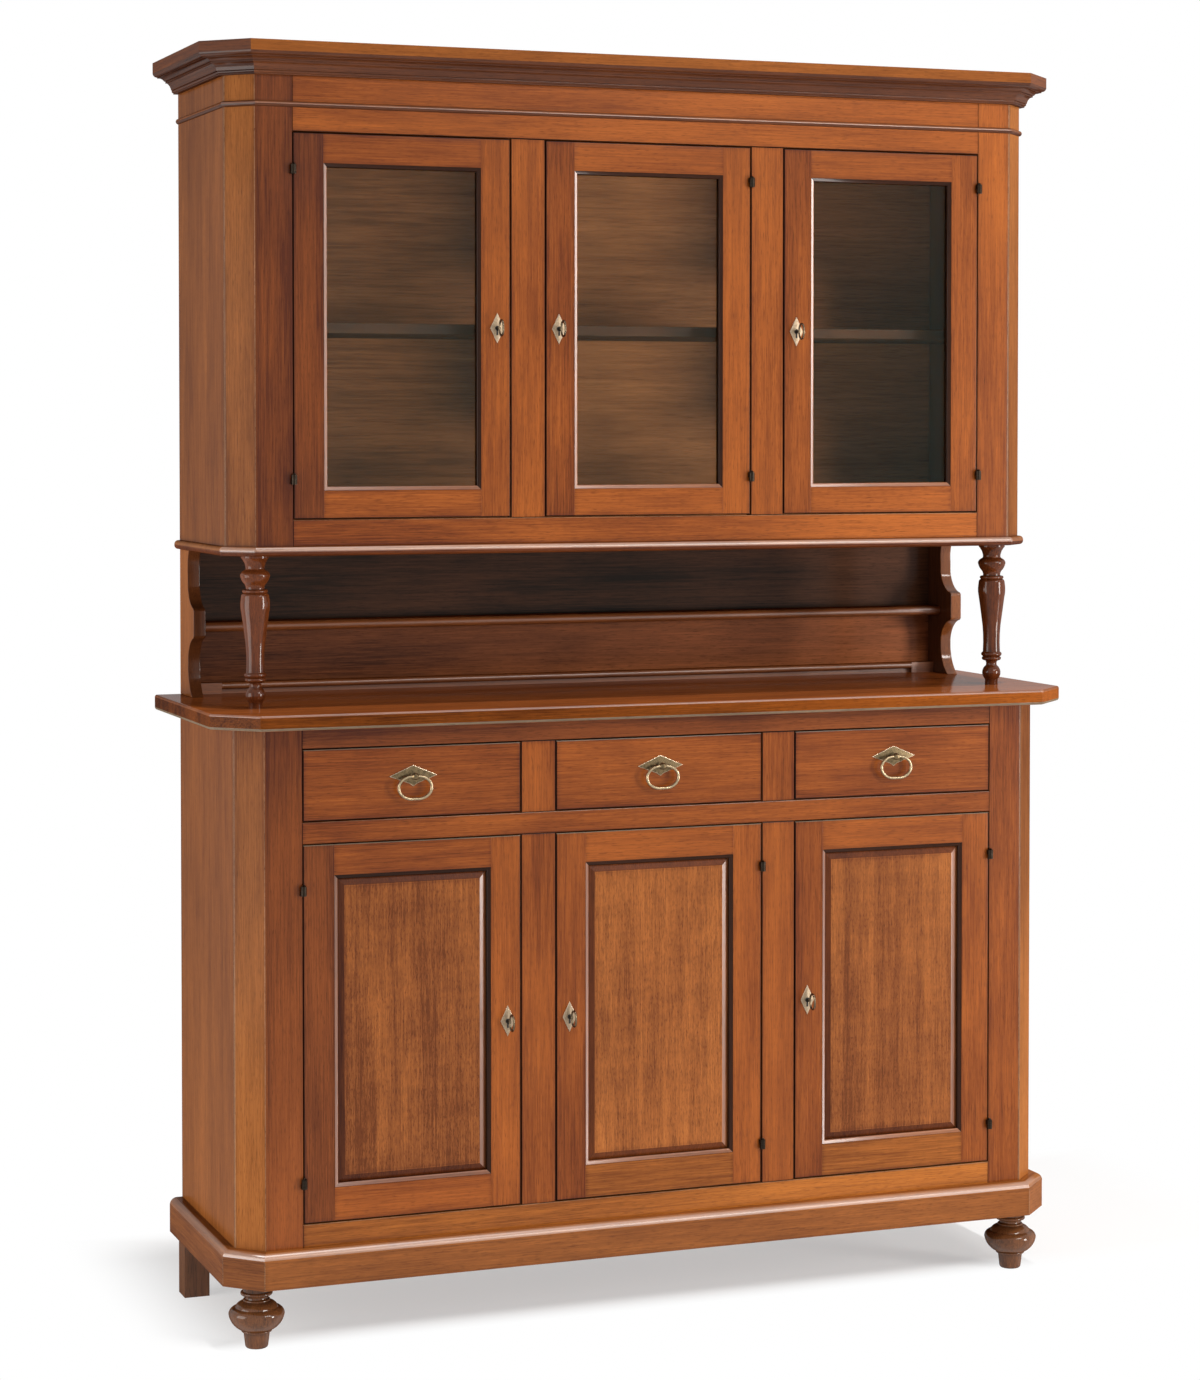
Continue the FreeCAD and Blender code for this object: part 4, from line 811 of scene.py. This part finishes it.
def slabs():
    """Tabletop and hutch floor."""
    low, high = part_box("base_top")
    leg = 0.071
    left = [spot(low.x, high.y, 0), spot(low.x, low.y + leg, 0), spot(low.x + leg, low.y, 0)]
    slab("base_top", "tabletop", left + mirrored(left), [top_wood, top_edge_wood, nose_wood, worn_and_glint_edge],
         upper=0.004, lower=0.005, steps=3, slot="top_wood")
    low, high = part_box("hutch_floor")
    reach = -SIDE - low.x
    mitre = reach * (math.sqrt(2) - 1)
    left = [spot(low.x, BACK, 0), spot(low.x, HUTCH_FRONT + CHAMFER - mitre, 0),
            spot(-SIDE + CHAMFER - mitre, low.y, 0)]
    slab("hutch_floor", "hutch_floor_slab", left + mirrored(left),
         [moulding_wood, nose_wood, highlight_nose_wood, shaded_bevel_wood],
         upper=0.0072, lower=0.0072, steps=5)


def cornice():
    """Cornice and frieze bead in mitred lengths, and the dust cap."""
    low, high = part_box("cornice")
    reach = -SIDE - low.x
    tall = 0.054
    shares = [(0, 0), (0.19, 0), (0.19, 0.04, 0.30), (0.24, 0.13), (0.28, 0.13, -0.12), (0.44, 0.35),
              (0.50, 0.35), (0.50, 0.41), (0.55, 0.41, -0.16), (0.78, 0.50), (0.82, 0.50),
              (0.82, 0.53, 0.20), (1.0, 0.66), (1.0, 1.0), (0, 1.0)]
    section = swelled([(out * reach, up * tall, *swell) for out, up, *swell in shares])
    bm = blank()
    add_moulding(bm, section, whole_outline(HUTCH_FRONT, high.z - tall), UP)
    # Painted shade and light: the coves and the bead's underside dark, the bead's top a lighter glossy
    # highlight, and the fascia's side returns a darker wood
    fascia, cove, bead, shaded_side_fascia = range(4)
    fascia_share = 0.35
    fascia_low = high.z - fascia_share * tall
    paint([face for face in bm.faces if face.calc_center_median().z < fascia_low], cove)
    bead_tall, bead_swell_share = 0.010, 0.45
    bead_section = swelled([(0, 0, bead_swell_share), (0, bead_tall)])
    add_moulding(bm, bead_section, whole_outline(HUTCH_FRONT, low.z), UP, finish=bead)
    face_outward(bm)
    for face in bm.faces:
        if face.material_index == bead and face.normal.z < 0:
            face.material_index = cove
        elif face.material_index == fascia and abs(face.normal.x) > SLANT:
            face.material_index = shaded_side_fascia
    cap, inset = 0.012, 0.001
    old = set(bm.faces)
    raise_face(bm, whole_outline(HUTCH_FRONT, high.z - cap), UP * (cap - inset))
    lay_grain(bm, new_faces(bm, old), GRAIN_X)
    make_piece(bm, "cornice_lengths", [fascia_wood, shaded_cove_wood, polished_highlight_moulding, moulding_wood],
               ["cornice"], smooth=BOARD_SMOOTH)


def turnings():
    """Feet and columns with darker grooves."""
    for node, finish in (("feet", foot_wood), ("columns", turned_wood)):
        bm = from_node(node, GRAIN_Z, shade=0.5)
        darken_grooves(bm, GROOVE_DEPTH)
        make_piece(bm, f"turned_{node}", [finish], [node], smooth=ROUND_SMOOTH)


def carried_over():
    """Pieces whose frame shape is right and only needs its edges, grain and finish."""
    for node, name, along, arris, finish, slot, smooth in (
        ("hutch_ceiling_board", "hutch_ceiling", GRAIN_X, ARRIS, back_wood, "carcass_wood", 0),
        ("base_inner_boards", "floor_and_partitions", GRAIN_Y, 0, back_wood, "carcass_wood", 0),
        ("drawer_runners", "runners_and_guides", GRAIN_Y, 0, inside_wood, "carcass_wood", 0),
        ("hinge_frame_halves", "hinge_lower_halves", GRAIN_Z, 0, bronze, "bronze", ROUND_SMOOTH),
    ):
        make_piece(from_node(node, along, arris), name, [finish], [node], slot=slot, smooth=smooth)


def rack():
    """Scrolled brackets in a dark wood as painted shade, with lighter, polished front edges on the right
    as a painted highlight and lighter outer faces as painted light.
    """
    bm = from_node("rack_brackets", GRAIN_Z, SHELF_ARRIS)
    bm.normal_update()
    edge, outer = 1, 2
    for face in bm.faces:
        hand = math.copysign(1, face.calc_center_median().x)
        if face.normal.x * hand > SQUARE:
            face.material_index = outer
        elif face.normal.y < -SLANT and hand > 0:
            face.material_index = edge
    make_piece(bm, "scrolled_brackets", [shaded_bracket_wood, lit_bracket_edge_wood, case_wood], ["rack_brackets"],
               smooth=ROUND_SMOOTH)


def shelves():
    """Plate shelf and the shelves in the cupboards, whose front edges have their own finish: on the
    cupboard shelves a dark one, as painted shade.
    """
    for node, name, arris, finish, edge, smooth in (
        ("plate_shelf", "plate_shelf_and_strip", 0, moulding_wood, nose_wood, BOARD_SMOOTH),
        ("inner_shelves", "shelf_boards", SHELF_ARRIS, shelf_wood, shaded_bracket_wood, 0),
    ):
        bm = from_node(node, GRAIN_X, arris)
        bm.normal_update()
        for face in bm.faces:
            face.material_index = int(face.normal.y < -SLANT)
        make_piece(bm, name, [finish, edge], [node], smooth=smooth)


def back_panel(node):
    """Thin panel whose outer face lies just under its nail heads."""
    bm = from_node(node, GRAIN_X, THIN_ARRIS)
    for vert in bm.verts:
        vert.co.y = min(vert.co.y, BACK - NAIL_HEAD)
    return bm


def backs():
    """Back panel of the base and of the glazed cabinet, and the darker one of the open rack; their inner
    faces carry painted shade on the rack and painted light inside the cabinet.
    """
    bm = back_panel("base_back_panel")
    make_piece(bm, "base_back", [back_wood], ["base_back_panel"], slot="back_wood")
    bm = back_panel("hutch_back_panels")
    shelf_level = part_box("plate_shelf")[1].z
    facing = [face for face in bm.faces if face.normal.y < -HALF]
    edges = once(edge for face in facing for edge in face.edges)
    verts = once(vert for face in facing for vert in face.verts)
    bmesh.ops.bisect_plane(bm, geom=[*facing, *edges, *verts], plane_co=UP * shelf_level, plane_no=UP)
    inner = [face for face in bm.faces if face.normal.y < -HALF]
    # Levels between which a zone lies, and the dark and light places of its tone: the rack in painted
    # shade of the hutch, deepest above the plate shelf, and the cabinet's back in painted light
    zones = [(0, shelf_level, -0.7, 0.2), (shelf_level, RACK_HIGH, 0.1, 0.8),
             (RACK_HIGH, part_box("cornice")[1].z, -0.25, 0.5)]
    for finish, (low, high, dark, light) in enumerate(zones, start=1):
        zone = [face for face in inner if low < face.calc_center_median().z < high]
        paint(zone, finish)
        fade_tone(bm, zone, GRAIN_X, dark, light)
    make_piece(bm, "hutch_backs", [back_wood, rack_wood, deep_rack_shade_wood, lit_hutch_back_wood],
               ["hutch_back_panels"], slot="back_wood")


def back_nails():
    """Rows of nail heads along the edges of the back panels."""
    bm = blank()
    radius, inset, pitch = 0.0042, 0.010, 0.115
    dome_share, dome_height_share, lip = 0.6, 0.8, 0.0001
    head = [(0, NAIL_HEAD), (dome_share * radius, dome_height_share * NAIL_HEAD), (radius, lip),
            (radius, -NAIL_HEAD)]
    base_low, base_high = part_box("base_back_panel")
    hutch_low, hutch_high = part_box("hutch_back_panels")
    hutch_floor = (RACK_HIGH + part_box("hutch_floor")[1].z) / 2
    wide = base_high.x - inset
    columns = round(2 * wide / pitch)
    places = []
    for low, high in ((base_low.z + inset, base_high.z - inset), (hutch_low.z + inset, hutch_floor),
                      (hutch_floor, hutch_high.z - inset)):
        steps = round((high - low) / pitch)
        heights = [low + (high - low) * step / steps for step in range(steps + 1)]
        widths = [wide * (2 * step / columns - 1) for step in range(1, columns)]
        places += [(hand * wide, level) for hand in (-1, 1) for level in heights]
        places += [(x, level) for level in (low, high) for x in widths]
    for x, z in once(places):
        add_turning(bm, head, spot(x, BACK - NAIL_HEAD, z), GRAIN_Y, steps=8)
    make_piece(bm, "back_nails", [bronze], slot="bronze", smooth=ROUND_SMOOTH)


# Doors

def door_boards(unit, bay):
    """Stiles, rails and the moulding round the opening."""
    door = f"{unit}_{bay}_door"
    low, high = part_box(f"{door}_frame")
    fill_low, fill_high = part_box(f"{door}_{'panel' if unit == 'base' else 'glass'}")
    bm = blank()
    # Finishes by place: the left door's left stile darker as painted shade; the sticking near black as
    # painted shade, with a lighter glossy copy on its faces turned to the light as a painted highlight;
    # the base fronts' top arris one for wear with a painted highlight
    plain, edge, sticking, lit_sticking, dark, pale, worn_and_glint = range(7)
    stile_shade, rail_shade, pale_shade = 0.15, 0.45, 0.08
    left_stile = (dark if bay == "left" else plain, stile_shade)
    low_rail = (plain, rail_shade) if unit == "hutch" or bay == "left" else (pale, pale_shade)
    for board_low, board_high, along, finish, shade in (
        (low, (fill_low.x, high.y, high.z), GRAIN_Z, *left_stile),
        ((fill_high.x, low.y, low.z), high, GRAIN_Z, plain, None),
        ((fill_low.x, low.y, low.z), (fill_high.x, high.y, fill_low.z), GRAIN_X, *low_rail),
        ((fill_low.x, low.y, fill_high.z), (fill_high.x, high.y, high.z), GRAIN_X, plain, None),
    ):
        add_board(bm, board_low, board_high, along, SEAM, finish, shade=shade, front=(low, high))
    shade_rim(bm, low, high, edge, worn_and_glint if unit == "base" else edge)
    path = [spot(x, UNITS[unit], z) for x, z in ((fill_high.x, fill_low.z), (fill_low.x, fill_low.z),
                                                 (fill_low.x, fill_high.z), (fill_high.x, fill_high.z))]
    profile = swelled([(0, -SEAM), (0, -STICKING_DEPTH), (STICKING, -STICKING_DEPTH),
                       (STICKING, -STICKING_NOSE, QUARTER_ROUND_SHARE), (STICKING_FLAT, -STICKING_FALL),
                       (STICKING_LIP, -SEAM)])
    add_moulding(bm, profile, path, FRONT, closed=True, finish=sticking)
    face_outward(bm)
    to_light = 0.15
    for face in bm.faces:
        lit = face.normal.y < -SLANT and max(face.normal.x, face.normal.z) > to_light
        if face.material_index == sticking and lit:
            face.material_index = lit_sticking
    if unit == "hutch":
        bead = swelled([(0, -GLASS_BACK), (0, -GLASS_BACK - GLAZING_BEAD, QUARTER_ROUND_SHARE),
                        (GLAZING_BEAD, -GLASS_BACK)])
        add_moulding(bm, bead, path, FRONT, closed=True, finish=sticking)
    finishes = [frame_wood, dark_edge, shaded_sticking_wood, polished_highlight_moulding, shaded_frame_wood, pale_frame_wood,
                worn_and_glint_edge]
    make_piece(bm, f"{door}_boards", finishes, [f"{door}_frame"], door, smooth=BOARD_SMOOTH)


def door_fill(unit, bay):
    """Fielded panel with a veneered field, or the pane."""
    door = f"{unit}_{bay}_door"
    if unit == "hutch":
        bm = from_node(f"{door}_glass", GRAIN_X)
        make_piece(bm, f"{door}_pane", [glass], [f"{door}_glass"], door, "glass")
        return
    bm = from_node(f"{door}_panel", GRAIN_Z, shade=PANEL_SHADES[bay])
    # The slopes of the panel are dark as painted shade, and those turned to the right a lighter, glossy
    # finish as a painted highlight
    veneer, slope, lit_slope = range(3)
    field = min(bm.faces, key=lambda face: face.calc_center_median().y)
    for face in bm.faces:
        face.material_index = lit_slope if face.normal.x > TOUCH and face.normal.y < -SLANT else slope
    field.material_index = veneer
    soften(bm, field.edges, ARRIS)
    make_piece(bm, f"{door}_fielded_panel", [panel_veneer, shaded_bevel_wood, polished_highlight_moulding],
               [f"{door}_panel"], door, "panel_wood")


def add_plate(bm, corners, wall, thick, ridge):
    """Cast plate on a wall with this outline, a softened rim and a face that rises to the middle."""
    old = set(bm.faces)
    plate, rim = range(2)
    digits = 6
    fore = raise_face(bm, [spot(x, wall, z) for x, z in corners], FRONT * thick)
    soften(bm, fore.edges, thick / 2)
    paint(new_faces(bm, old), rim)
    flat = min(new_faces(bm, old),
               key=lambda face: (round(face.calc_center_median().y, digits), -face.calc_area()))
    flat.normal_update()
    if flat.normal.y > 0:
        flat.normal_flip()
    flat.material_index = plate
    bmesh.ops.poke(bm, faces=[flat], offset=ridge)
    lay_grain(bm, new_faces(bm, old), GRAIN_X)


def middle_of(node):
    """Centre of a node's box."""
    low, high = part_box(node)
    return (low + high) / 2


def fittings(unit, bay):
    """Escutcheon with its keyhole, lock case, hinge halves with finials, key and bolt."""
    door = f"{unit}_{bay}_door"
    front = UNITS[unit]
    low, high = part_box(f"{door}_fittings")
    key_x = middle_of(f"{door}_key").x
    middle = middle_of(f"{door}_frame").z
    half_wide, half_tall = 0.013, 0.02675

    bm = from_node(f"{door}_fittings", GRAIN_Z)
    plate_verts = [vert for vert in bm.verts
                   if vert.co.y < front + SEAM and abs(vert.co.z - middle) < half_tall + SEAM]
    bmesh.ops.delete(bm, geom=plate_verts, context="VERTS")
    hinge_x = low.x + HINGE_RADIUS if BAYS[bay] < 0 else high.x - HINGE_RADIUS
    finial = [(0.0036, -SEAM), (0.0036, 0.0004), (0.0026, 0.0009), (0.0032, 0.0018), (0.0022, 0.0028),
              (0, 0.0033)]
    for top in (high.z, low.z + HINGE_HALF):
        add_turning(bm, finial, spot(hinge_x, low.y + HINGE_RADIUS, top), UP, steps=16)
    make_piece(bm, f"{door}_lock_and_hinges", [bronze], [f"{door}_fittings"], door, "bronze", ROUND_SMOOTH)

    bm = blank()
    corners = [(key_x, middle - half_tall), (key_x + half_wide, middle), (key_x, middle + half_tall),
               (key_x - half_wide, middle)]
    add_plate(bm, corners, front, thick=0.0012, ridge=0.0008)
    make_piece(bm, f"{door}_escutcheon", [pale_brass, rubbed_brass], body=door, slot="brass")

    # A dark disc and slot on the escutcheon: painted shade for the keyhole's depth
    bm = blank()
    well, hole, slot_half, slot_tall = 0.0023, 0.0042, 0.0017, 0.012
    add_turning(bm, [(0, 0), (hole, 0), (hole, well), (0, well)], spot(key_x, front, middle), FRONT)
    add_board(bm, (key_x - slot_half, front - well, middle - slot_tall),
              (key_x + slot_half, front, middle), GRAIN_Z, SEAM)
    make_piece(bm, f"{door}_keyhole", [keyhole], body=door, slot="brass")

    bm = from_node(f"{door}_key", GRAIN_Y)
    shank = 0.012
    for face in bm.faces:
        face.material_index = int(face.calc_center_median().y > front - shank)
    make_piece(bm, f"{door}_turning_key", [key_brass, bronze], [f"{door}_key"], f"{door}_key", "brass",
               ROUND_SMOOTH)
    bm = from_node(f"{door}_bolt", GRAIN_X, SEAM)
    make_piece(bm, f"{door}_lock_bolt", [steel], [f"{door}_bolt"], f"{door}_bolt", "steel")


# Drawers

def drawer(bay):
    """Drawer box with its front, and the ring pull on its rhombic plate."""
    name = f"{bay}_drawer"
    low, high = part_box(name)
    behind = low.y + DRAWER_FRONT
    side_high = low.z + DRAWER_SIDE_HEIGHT
    bottom = low.z + DRAWER_BOTTOM_RISE
    bottom_high = bottom + DRAWER_BOTTOM
    left, right = low.x + DRAWER_SIDE, high.x - DRAWER_SIDE
    bm = blank()
    # The front's top arris gets the finish for wear with a painted highlight
    inside, edge, worn_and_glint = 1, 2, 3
    add_board(bm, low, (high.x, behind, high.z), GRAIN_X, shade=DRAWER_SHADES[bay], front=(low, high))
    shade_rim(bm, low, high, edge, worn_and_glint)
    for board_low, board_high, along in (
        ((low.x, behind, low.z), (left, high.y, side_high), GRAIN_Y),
        ((right, behind, low.z), (high.x, high.y, side_high), GRAIN_Y),
        ((left, behind, bottom), (right, high.y, bottom_high), GRAIN_X),
        ((left, high.y - DRAWER_SIDE, bottom_high), (right, high.y, side_high), GRAIN_X),
    ):
        add_board(bm, board_low, board_high, along, finish=inside)
    make_piece(bm, f"{name}_box", [frame_wood, inside_wood, dark_edge, worn_and_glint_edge], [name], name)

    plate_low, plate_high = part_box(f"{name}_pull_plate")
    centre = middle_of(f"{name}_pull_plate")
    size = plate_high - plate_low
    shares = [(0, -0.50), (0.08, -0.36), (0.50, 0), (0, 0.50), (-0.50, 0), (-0.08, -0.36)]
    corners = [(centre.x + wide * size.x, centre.z + tall * size.z) for wide, tall in shares]
    bm = blank()
    add_plate(bm, corners, low.y, thick=0.0016, ridge=0.0028)
    post = [(0, 0), (0.0065, 0), (0.0065, 0.0048), (0.0043, 0.0062), (0.0043, 0.0076), (0.0058, 0.0094),
            (0.0065, 0.0123), (0.0059, 0.0152), (0.0040, 0.0172), (0, size.y)]
    add_turning(bm, post, spot(centre.x, low.y, centre.z), FRONT)
    make_piece(bm, f"{name}_plate_and_post", [aged_brass, rubbed_brass], [f"{name}_pull_plate"], name,
               "brass", CAST_SMOOTH)
    bm = from_node(f"{name}_pull_ring", GRAIN_X)
    bm.normal_update()
    for vert in bm.verts:
        vert.co += vert.normal * RING_SWELL
    make_piece(bm, f"{name}_ring", [ring_brass], [f"{name}_pull_ring"], f"{name}_pull_ring", "brass",
               ROUND_SMOOTH)


for unit_name in UNITS:
    case(unit_name)
front_frame("base", "base_middle_door_frame", "middle_drawer")
front_frame("hutch", "hutch_middle_door_frame")
plinth()
slabs()
cornice()
turnings()
carried_over()
rack()
shelves()
backs()
for unit_name in UNITS:
    for bay_name in BAYS:
        door_boards(unit_name, bay_name)
        door_fill(unit_name, bay_name)
        fittings(unit_name, bay_name)
for bay_name in BAYS:
    drawer(bay_name)
back_nails()


# Stage, light and camera

def white_world():
    """Soft light all round, seen as white."""
    studio = Finish("studio", bpy.data.worlds)
    soft, white = (studio.node("ShaderNodeBackground", {"Color": (1, 1, 1), "Strength": strength})
                   for strength in (0.25, 1.0))
    studio.blend(studio.seen(), soft, white)
    bpy.context.scene.world = studio.owner


def floor():
    """Pale floor that keeps the shadow near the dresser and fades to white."""
    reach = 12
    shadow_middle = (0.24, 0.25, 0)
    fade_x, fade_y = (0.90, 1.15), (0.31, 0.42)
    white_share = 0.45
    bm = bmesh.new()
    bmesh.ops.create_grid(bm, x_segments=1, y_segments=1, size=reach)
    mesh = bpy.data.meshes.new("floor")
    bm.to_mesh(mesh)
    bm.free()
    ground = in_scene("floor", mesh)
    finish = Finish("pale_floor")
    matt = finish.node("ShaderNodeBsdfDiffuse", {"Color": (0.90, 0.90, 0.90)})
    white = finish.node("ShaderNodeEmission", {"Strength": 1.0})
    moved = finish.node("ShaderNodeVectorMath", {0: finish.places(), 1: shadow_middle},
                        operation="SUBTRACT")
    plan = finish.node("ShaderNodeVectorMath", {0: moved.outputs[0]}, operation="ABSOLUTE")
    sides = finish.node("ShaderNodeSeparateXYZ", {0: plan.outputs[0]}).outputs
    fades = []
    for distance, (near, far) in zip(sides, (fade_x, fade_y)):
        inputs = {"Value": distance, "From Min": near, "From Max": far, "To Min": white_share}
        fade = finish.node("ShaderNodeMapRange", inputs, interpolation_type="SMOOTHSTEP")
        fades.append(fade.outputs[0])
    share = finish.maths("MULTIPLY", finish.maths("MAXIMUM", *fades), finish.seen())
    finish.blend(share, matt, white)
    finish.tree.nodes.remove(finish.shader)
    mesh.materials.append(finish.owner)


def lamp(name, place, target, wide, tall, power):
    """Soft box lamp that looks at a point."""
    light = bpy.data.lights.new(name, "AREA")
    light.shape = "RECTANGLE"
    light.size = wide
    light.size_y = tall
    light.energy = power
    light.color = (1.0, 0.975, 0.94)
    holder = in_scene(name, light)
    holder.visible_camera = False
    holder.location = place
    holder.rotation_euler = (Vector(target) - Vector(place)).to_track_quat("-Z", "Y").to_euler()


def overhead(power):
    """Light from far above, a little in front, that draws the shadow under the dresser."""
    spread, forward, sideways = math.radians(4), math.radians(8), math.radians(4)
    light = bpy.data.lights.new("above", "SUN")
    light.energy = power
    light.angle = spread
    in_scene("above", light).rotation_euler = (forward, sideways, 0)


def camera():
    """View of the photograph: nearly level camera, its picture shifted down."""
    focal_pixels, frame_tall = 3156.4, 1380
    sensor = 36
    down, turn = math.radians(1.665), math.radians(20.829)
    shot = bpy.data.cameras.new("view")
    shot.sensor_width = sensor
    shot.lens = focal_pixels / frame_tall * sensor
    shot.shift_y = -0.125
    shot.clip_end = 100
    holder = in_scene("view", shot)
    holder.location = (-2.0577, -5.2988, 1.5571)
    holder.rotation_euler = (math.pi / 2 - down, 0, -turn)
    bpy.context.scene.camera = holder


white_world()
floor()
lamp("top", place=(2.0, -3.6, 3.5), target=(0.1, 0, 1.0), wide=2.2, tall=0.6, power=82)
lamp("right", place=(3.9, -3.3, 1.06), target=(0, -0.15, 1.06), wide=1.0, tall=2.1, power=165)
lamp("left", place=(-3.4, -0.4, 1.1), target=(-0.75, 0, 1.0), wide=2.0, tall=2.2, power=62)
overhead(power=1.6)
camera()
bpy.context.scene.view_settings.view_transform = "Standard"
